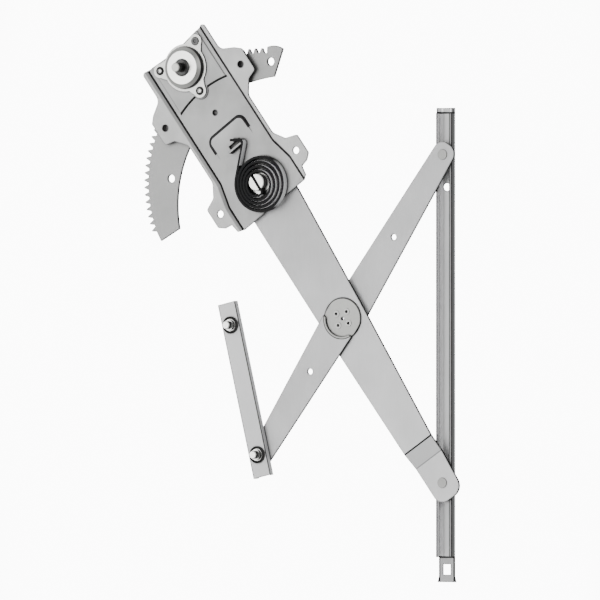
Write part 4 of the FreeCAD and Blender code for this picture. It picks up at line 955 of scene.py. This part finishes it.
# %% The three lengths of the spring
middle = along * COIL_SHIFT
tight = [middle - sideways * (INNER_TIGHT + TIGHT_PITCH * k) for k in range(COIL_TURNS + 1)]
wide = [middle + sideways * (INNER_OPEN + OPEN_PITCH * k) for k in range(COIL_TURNS)]
quarter = INNER_TIGHT - STRIP_BEND
corner_place = along * (COIL_SHIFT + quarter)
bend_middle = corner_place - along * STRIP_BEND - sideways * STRIP_BEND
tang_line = np.vstack((
    [along * -TANG_BACK, bend_middle + sideways * STRIP_BEND],
    arc_line(bend_middle, STRIP_BEND, arm_turn + math.pi / 2, -math.pi / 2),
    arc_line(tight[0] + sideways * quarter, quarter, arm_turn, -math.pi / 2),
))
first_line = half_circle(tight[0], wide[0])
coil_line = [half_circle(wide[0], tight[1])]
for k in range(1, COIL_TURNS):
    coil_line += [half_circle(tight[k], wide[k]), half_circle(wide[k], tight[k + 1])]

last_middle = (tight[-1] + wide[-1]) / 2
last_radius = np.linalg.norm(tight[-1] - last_middle)
turn_plate = np.array(((math.cos(plate_turn), -math.sin(plate_turn)),
                       (math.sin(plate_turn), math.cos(plate_turn))))
hook = turn_plate @ np.array((HOOK_U, HOOK_V))
gap = hook - last_middle
leave = angle_of(gap) + math.acos(last_radius / np.linalg.norm(gap))
begin = arm_turn - math.pi / 2
sweep = (begin - leave) % (2 * math.pi)
coil_line.append(arc_line(last_middle, last_radius, begin, -sweep))
last = last_middle + last_radius * unit(begin - sweep)
into = (hook - last) / np.linalg.norm(hook - last)
out = unit(plate_turn + HOOK_LEG_TURN)
half_turn = math.acos(float(into @ out)) / 2
trim = STRIP_BEND * math.tan(half_turn)
hook_middle = hook + (out - into) / np.linalg.norm(out - into) * (STRIP_BEND / math.cos(half_turn))
hook_start = angle_of(hook - into * trim - hook_middle)
hook_end = angle_of(hook + out * trim - hook_middle)
hook_sweep = (hook_end - hook_start + math.pi) % (2 * math.pi) - math.pi
coil_line.append(arc_line(hook_middle, STRIP_BEND, hook_start, hook_sweep))
coil_line.append([hook + out * HOOK_LEG])

tang = strip("spring_tang", tang_line)
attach(tang, "lift_arm")
first_turn = strip("spring_first_turn", first_line)
coil = strip("spring_coil", np.vstack(coil_line))
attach(coil, "door_plate")


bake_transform(first_turn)
for piece in (tang, first_turn, coil):
    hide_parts("counterbalance_spring")
print("spring lengths", [len(piece.data.vertices) for piece in (tang, first_turn, coil)])

# %% [markdown]
# The two studs that bolt the guide rail to the door are turned pieces with a rolled metric thread, eight
# millimetres across with a pitch of one and a quarter. A thread can be bump in a material, but its outline
# would stay smooth. Here the whole stud is one surface: a profile turned about its axis, whose radius along
# the thread also rises and falls with the angle, so that the crest climbs one pitch in each turn.

# %% Threaded studs of the guide rail
# Millimetres, and each pair of the profile is a radius and a height forward, against Y.
STUD_PROFILE = ((3.18, 0.0), (3.18, 1.2), (8.7, 1.2), (8.7, 2.3), (8.55, 2.65), (8.2, 2.8),
                (5.2, 2.8), (5.2, 5.6), (3.9, 5.6))
THREAD_RADIUS = 4.0
THREAD_DEPTH = 0.62
THREAD_PITCH = 1.25
THREAD_START = 5.6
THREAD_END = 11.8
THREAD_FADE = 1.0
THREAD_CHAMFER = 0.7
THREAD_ROWS = 66
ROUND_STEPS = 56
STUD_SHARP = math.radians(32)


def turned_stud(name, place):
    """A stud turned about an axis along Y, with a screw thread.

    The radius in the thread is the outer radius less the thread's depth times the square of the cosine of
    half the phase, where the phase is the height in pitches less the angle in turns. It fades in over the
    first millimetre, and a cone at the end cuts it off.
    """
    angles = np.linspace(0, 2 * np.pi, ROUND_STEPS, endpoint=False)
    plain = np.array(STUD_PROFILE)
    heights = np.linspace(THREAD_START, THREAD_END, THREAD_ROWS)
    phase = np.pi * (heights[:, None] / THREAD_PITCH - angles[None, :] / (2 * np.pi))
    fade = np.clip((heights - THREAD_START) / THREAD_FADE, 0, 1)[:, None]
    thread = THREAD_RADIUS - THREAD_DEPTH * fade * np.cos(phase) ** 2
    cone = THREAD_RADIUS - THREAD_CHAMFER + (THREAD_END - heights)[:, None]
    thread = np.minimum(thread, cone)
    radius = np.vstack((np.repeat(plain[:, :1], ROUND_STEPS, axis=1), thread))
    height = np.concatenate((plain[:, 1], heights))
    rows = len(height)
    points = np.stack((radius * np.cos(angles), -np.repeat(height[:, None], ROUND_STEPS, axis=1),
                       radius * np.sin(angles)), axis=-1).reshape(-1, 3)
    points = np.vstack((points, [(0, 0, 0), (0, -THREAD_END, 0)])) * MM + np.array((place[0], 0, place[2]))
    ring = np.arange(ROUND_STEPS)
    after = (ring + 1) % ROUND_STEPS
    top = (rows - 1) * ROUND_STEPS
    middle = rows * ROUND_STEPS
    ends = np.stack((after, ring, np.full_like(ring, middle)), axis=-1).tolist()
    ends += np.stack((top + ring, top + after, np.full_like(ring, middle + 1)), axis=-1).tolist()
    piece = ringed_piece(name, points, ROUND_STEPS, ends, STUD_SHARP, own_finishes["guide_studs"])
    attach(piece, "guide_rail")
    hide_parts("guide_studs")
    return piece


studs = [turned_stud(name, place) for name, place in zip(("guide_stud_near", "guide_stud_far"), stud_places)]
print("stud faces", [len(stud.data.polygons) for stud in studs])

# %% [markdown]
# The floor is a large pale sheet well below the mechanism, which hangs from its mounting plate. It fills
# the picture and takes no shadow that would be mistaken for one of its edges. As on a light table, a wide
# patch of it behind the part glows, which burns the background out to white. The glow fades out over half a
# metre, so that it is no hard edge that steel could mirror.

# %% Floor
FLOOR_DROP = 0.9
FLOOR_SIZE = 40.0
GLOW_PLACE = (0.16, 2.0)
GLOW_FULL = 0.70
GLOW_END = 1.25
GLOW = 10.5
GLOW_ELSEWHERE = 0.6
floor_mesh = bpy.data.meshes.new("floor")
half = FLOOR_SIZE / 2
level = cad_box[0][2] - FLOOR_DROP
corners = [(-half, -half, level), (half, -half, level), (half, half, level), (-half, half, level)]
floor_mesh.from_pydata(corners, [], [(0, 1, 2, 3)])
floor = bpy.data.objects.new("floor", floor_mesh)
bpy.context.collection.objects.link(floor)
floor_finish, tree, output, place = finish_named("white_floor_paper")
away = add_node(tree, "ShaderNodeVectorMath", {"operation": "DISTANCE"},
                {0: place, 1: (*GLOW_PLACE, level)})
glow = add_node(tree, "ShaderNodeMapRange", {"interpolation_type": "SMOOTHERSTEP"},
                {0: away.outputs["Value"], 1: GLOW_END, 2: GLOW_FULL, 3: GLOW_ELSEWHERE, 4: GLOW})
paper = add_node(tree, "ShaderNodeBsdfPrincipled", None, {
    "Base Color": colour("#FFFFFF"), "Roughness": 0.9, "Emission Color": colour("#FFFFFF"),
    "Emission Strength": glow.outputs[0]})
tree.links.new(paper.outputs[0], output.inputs["Surface"])
floor_mesh.materials.append(floor_finish)
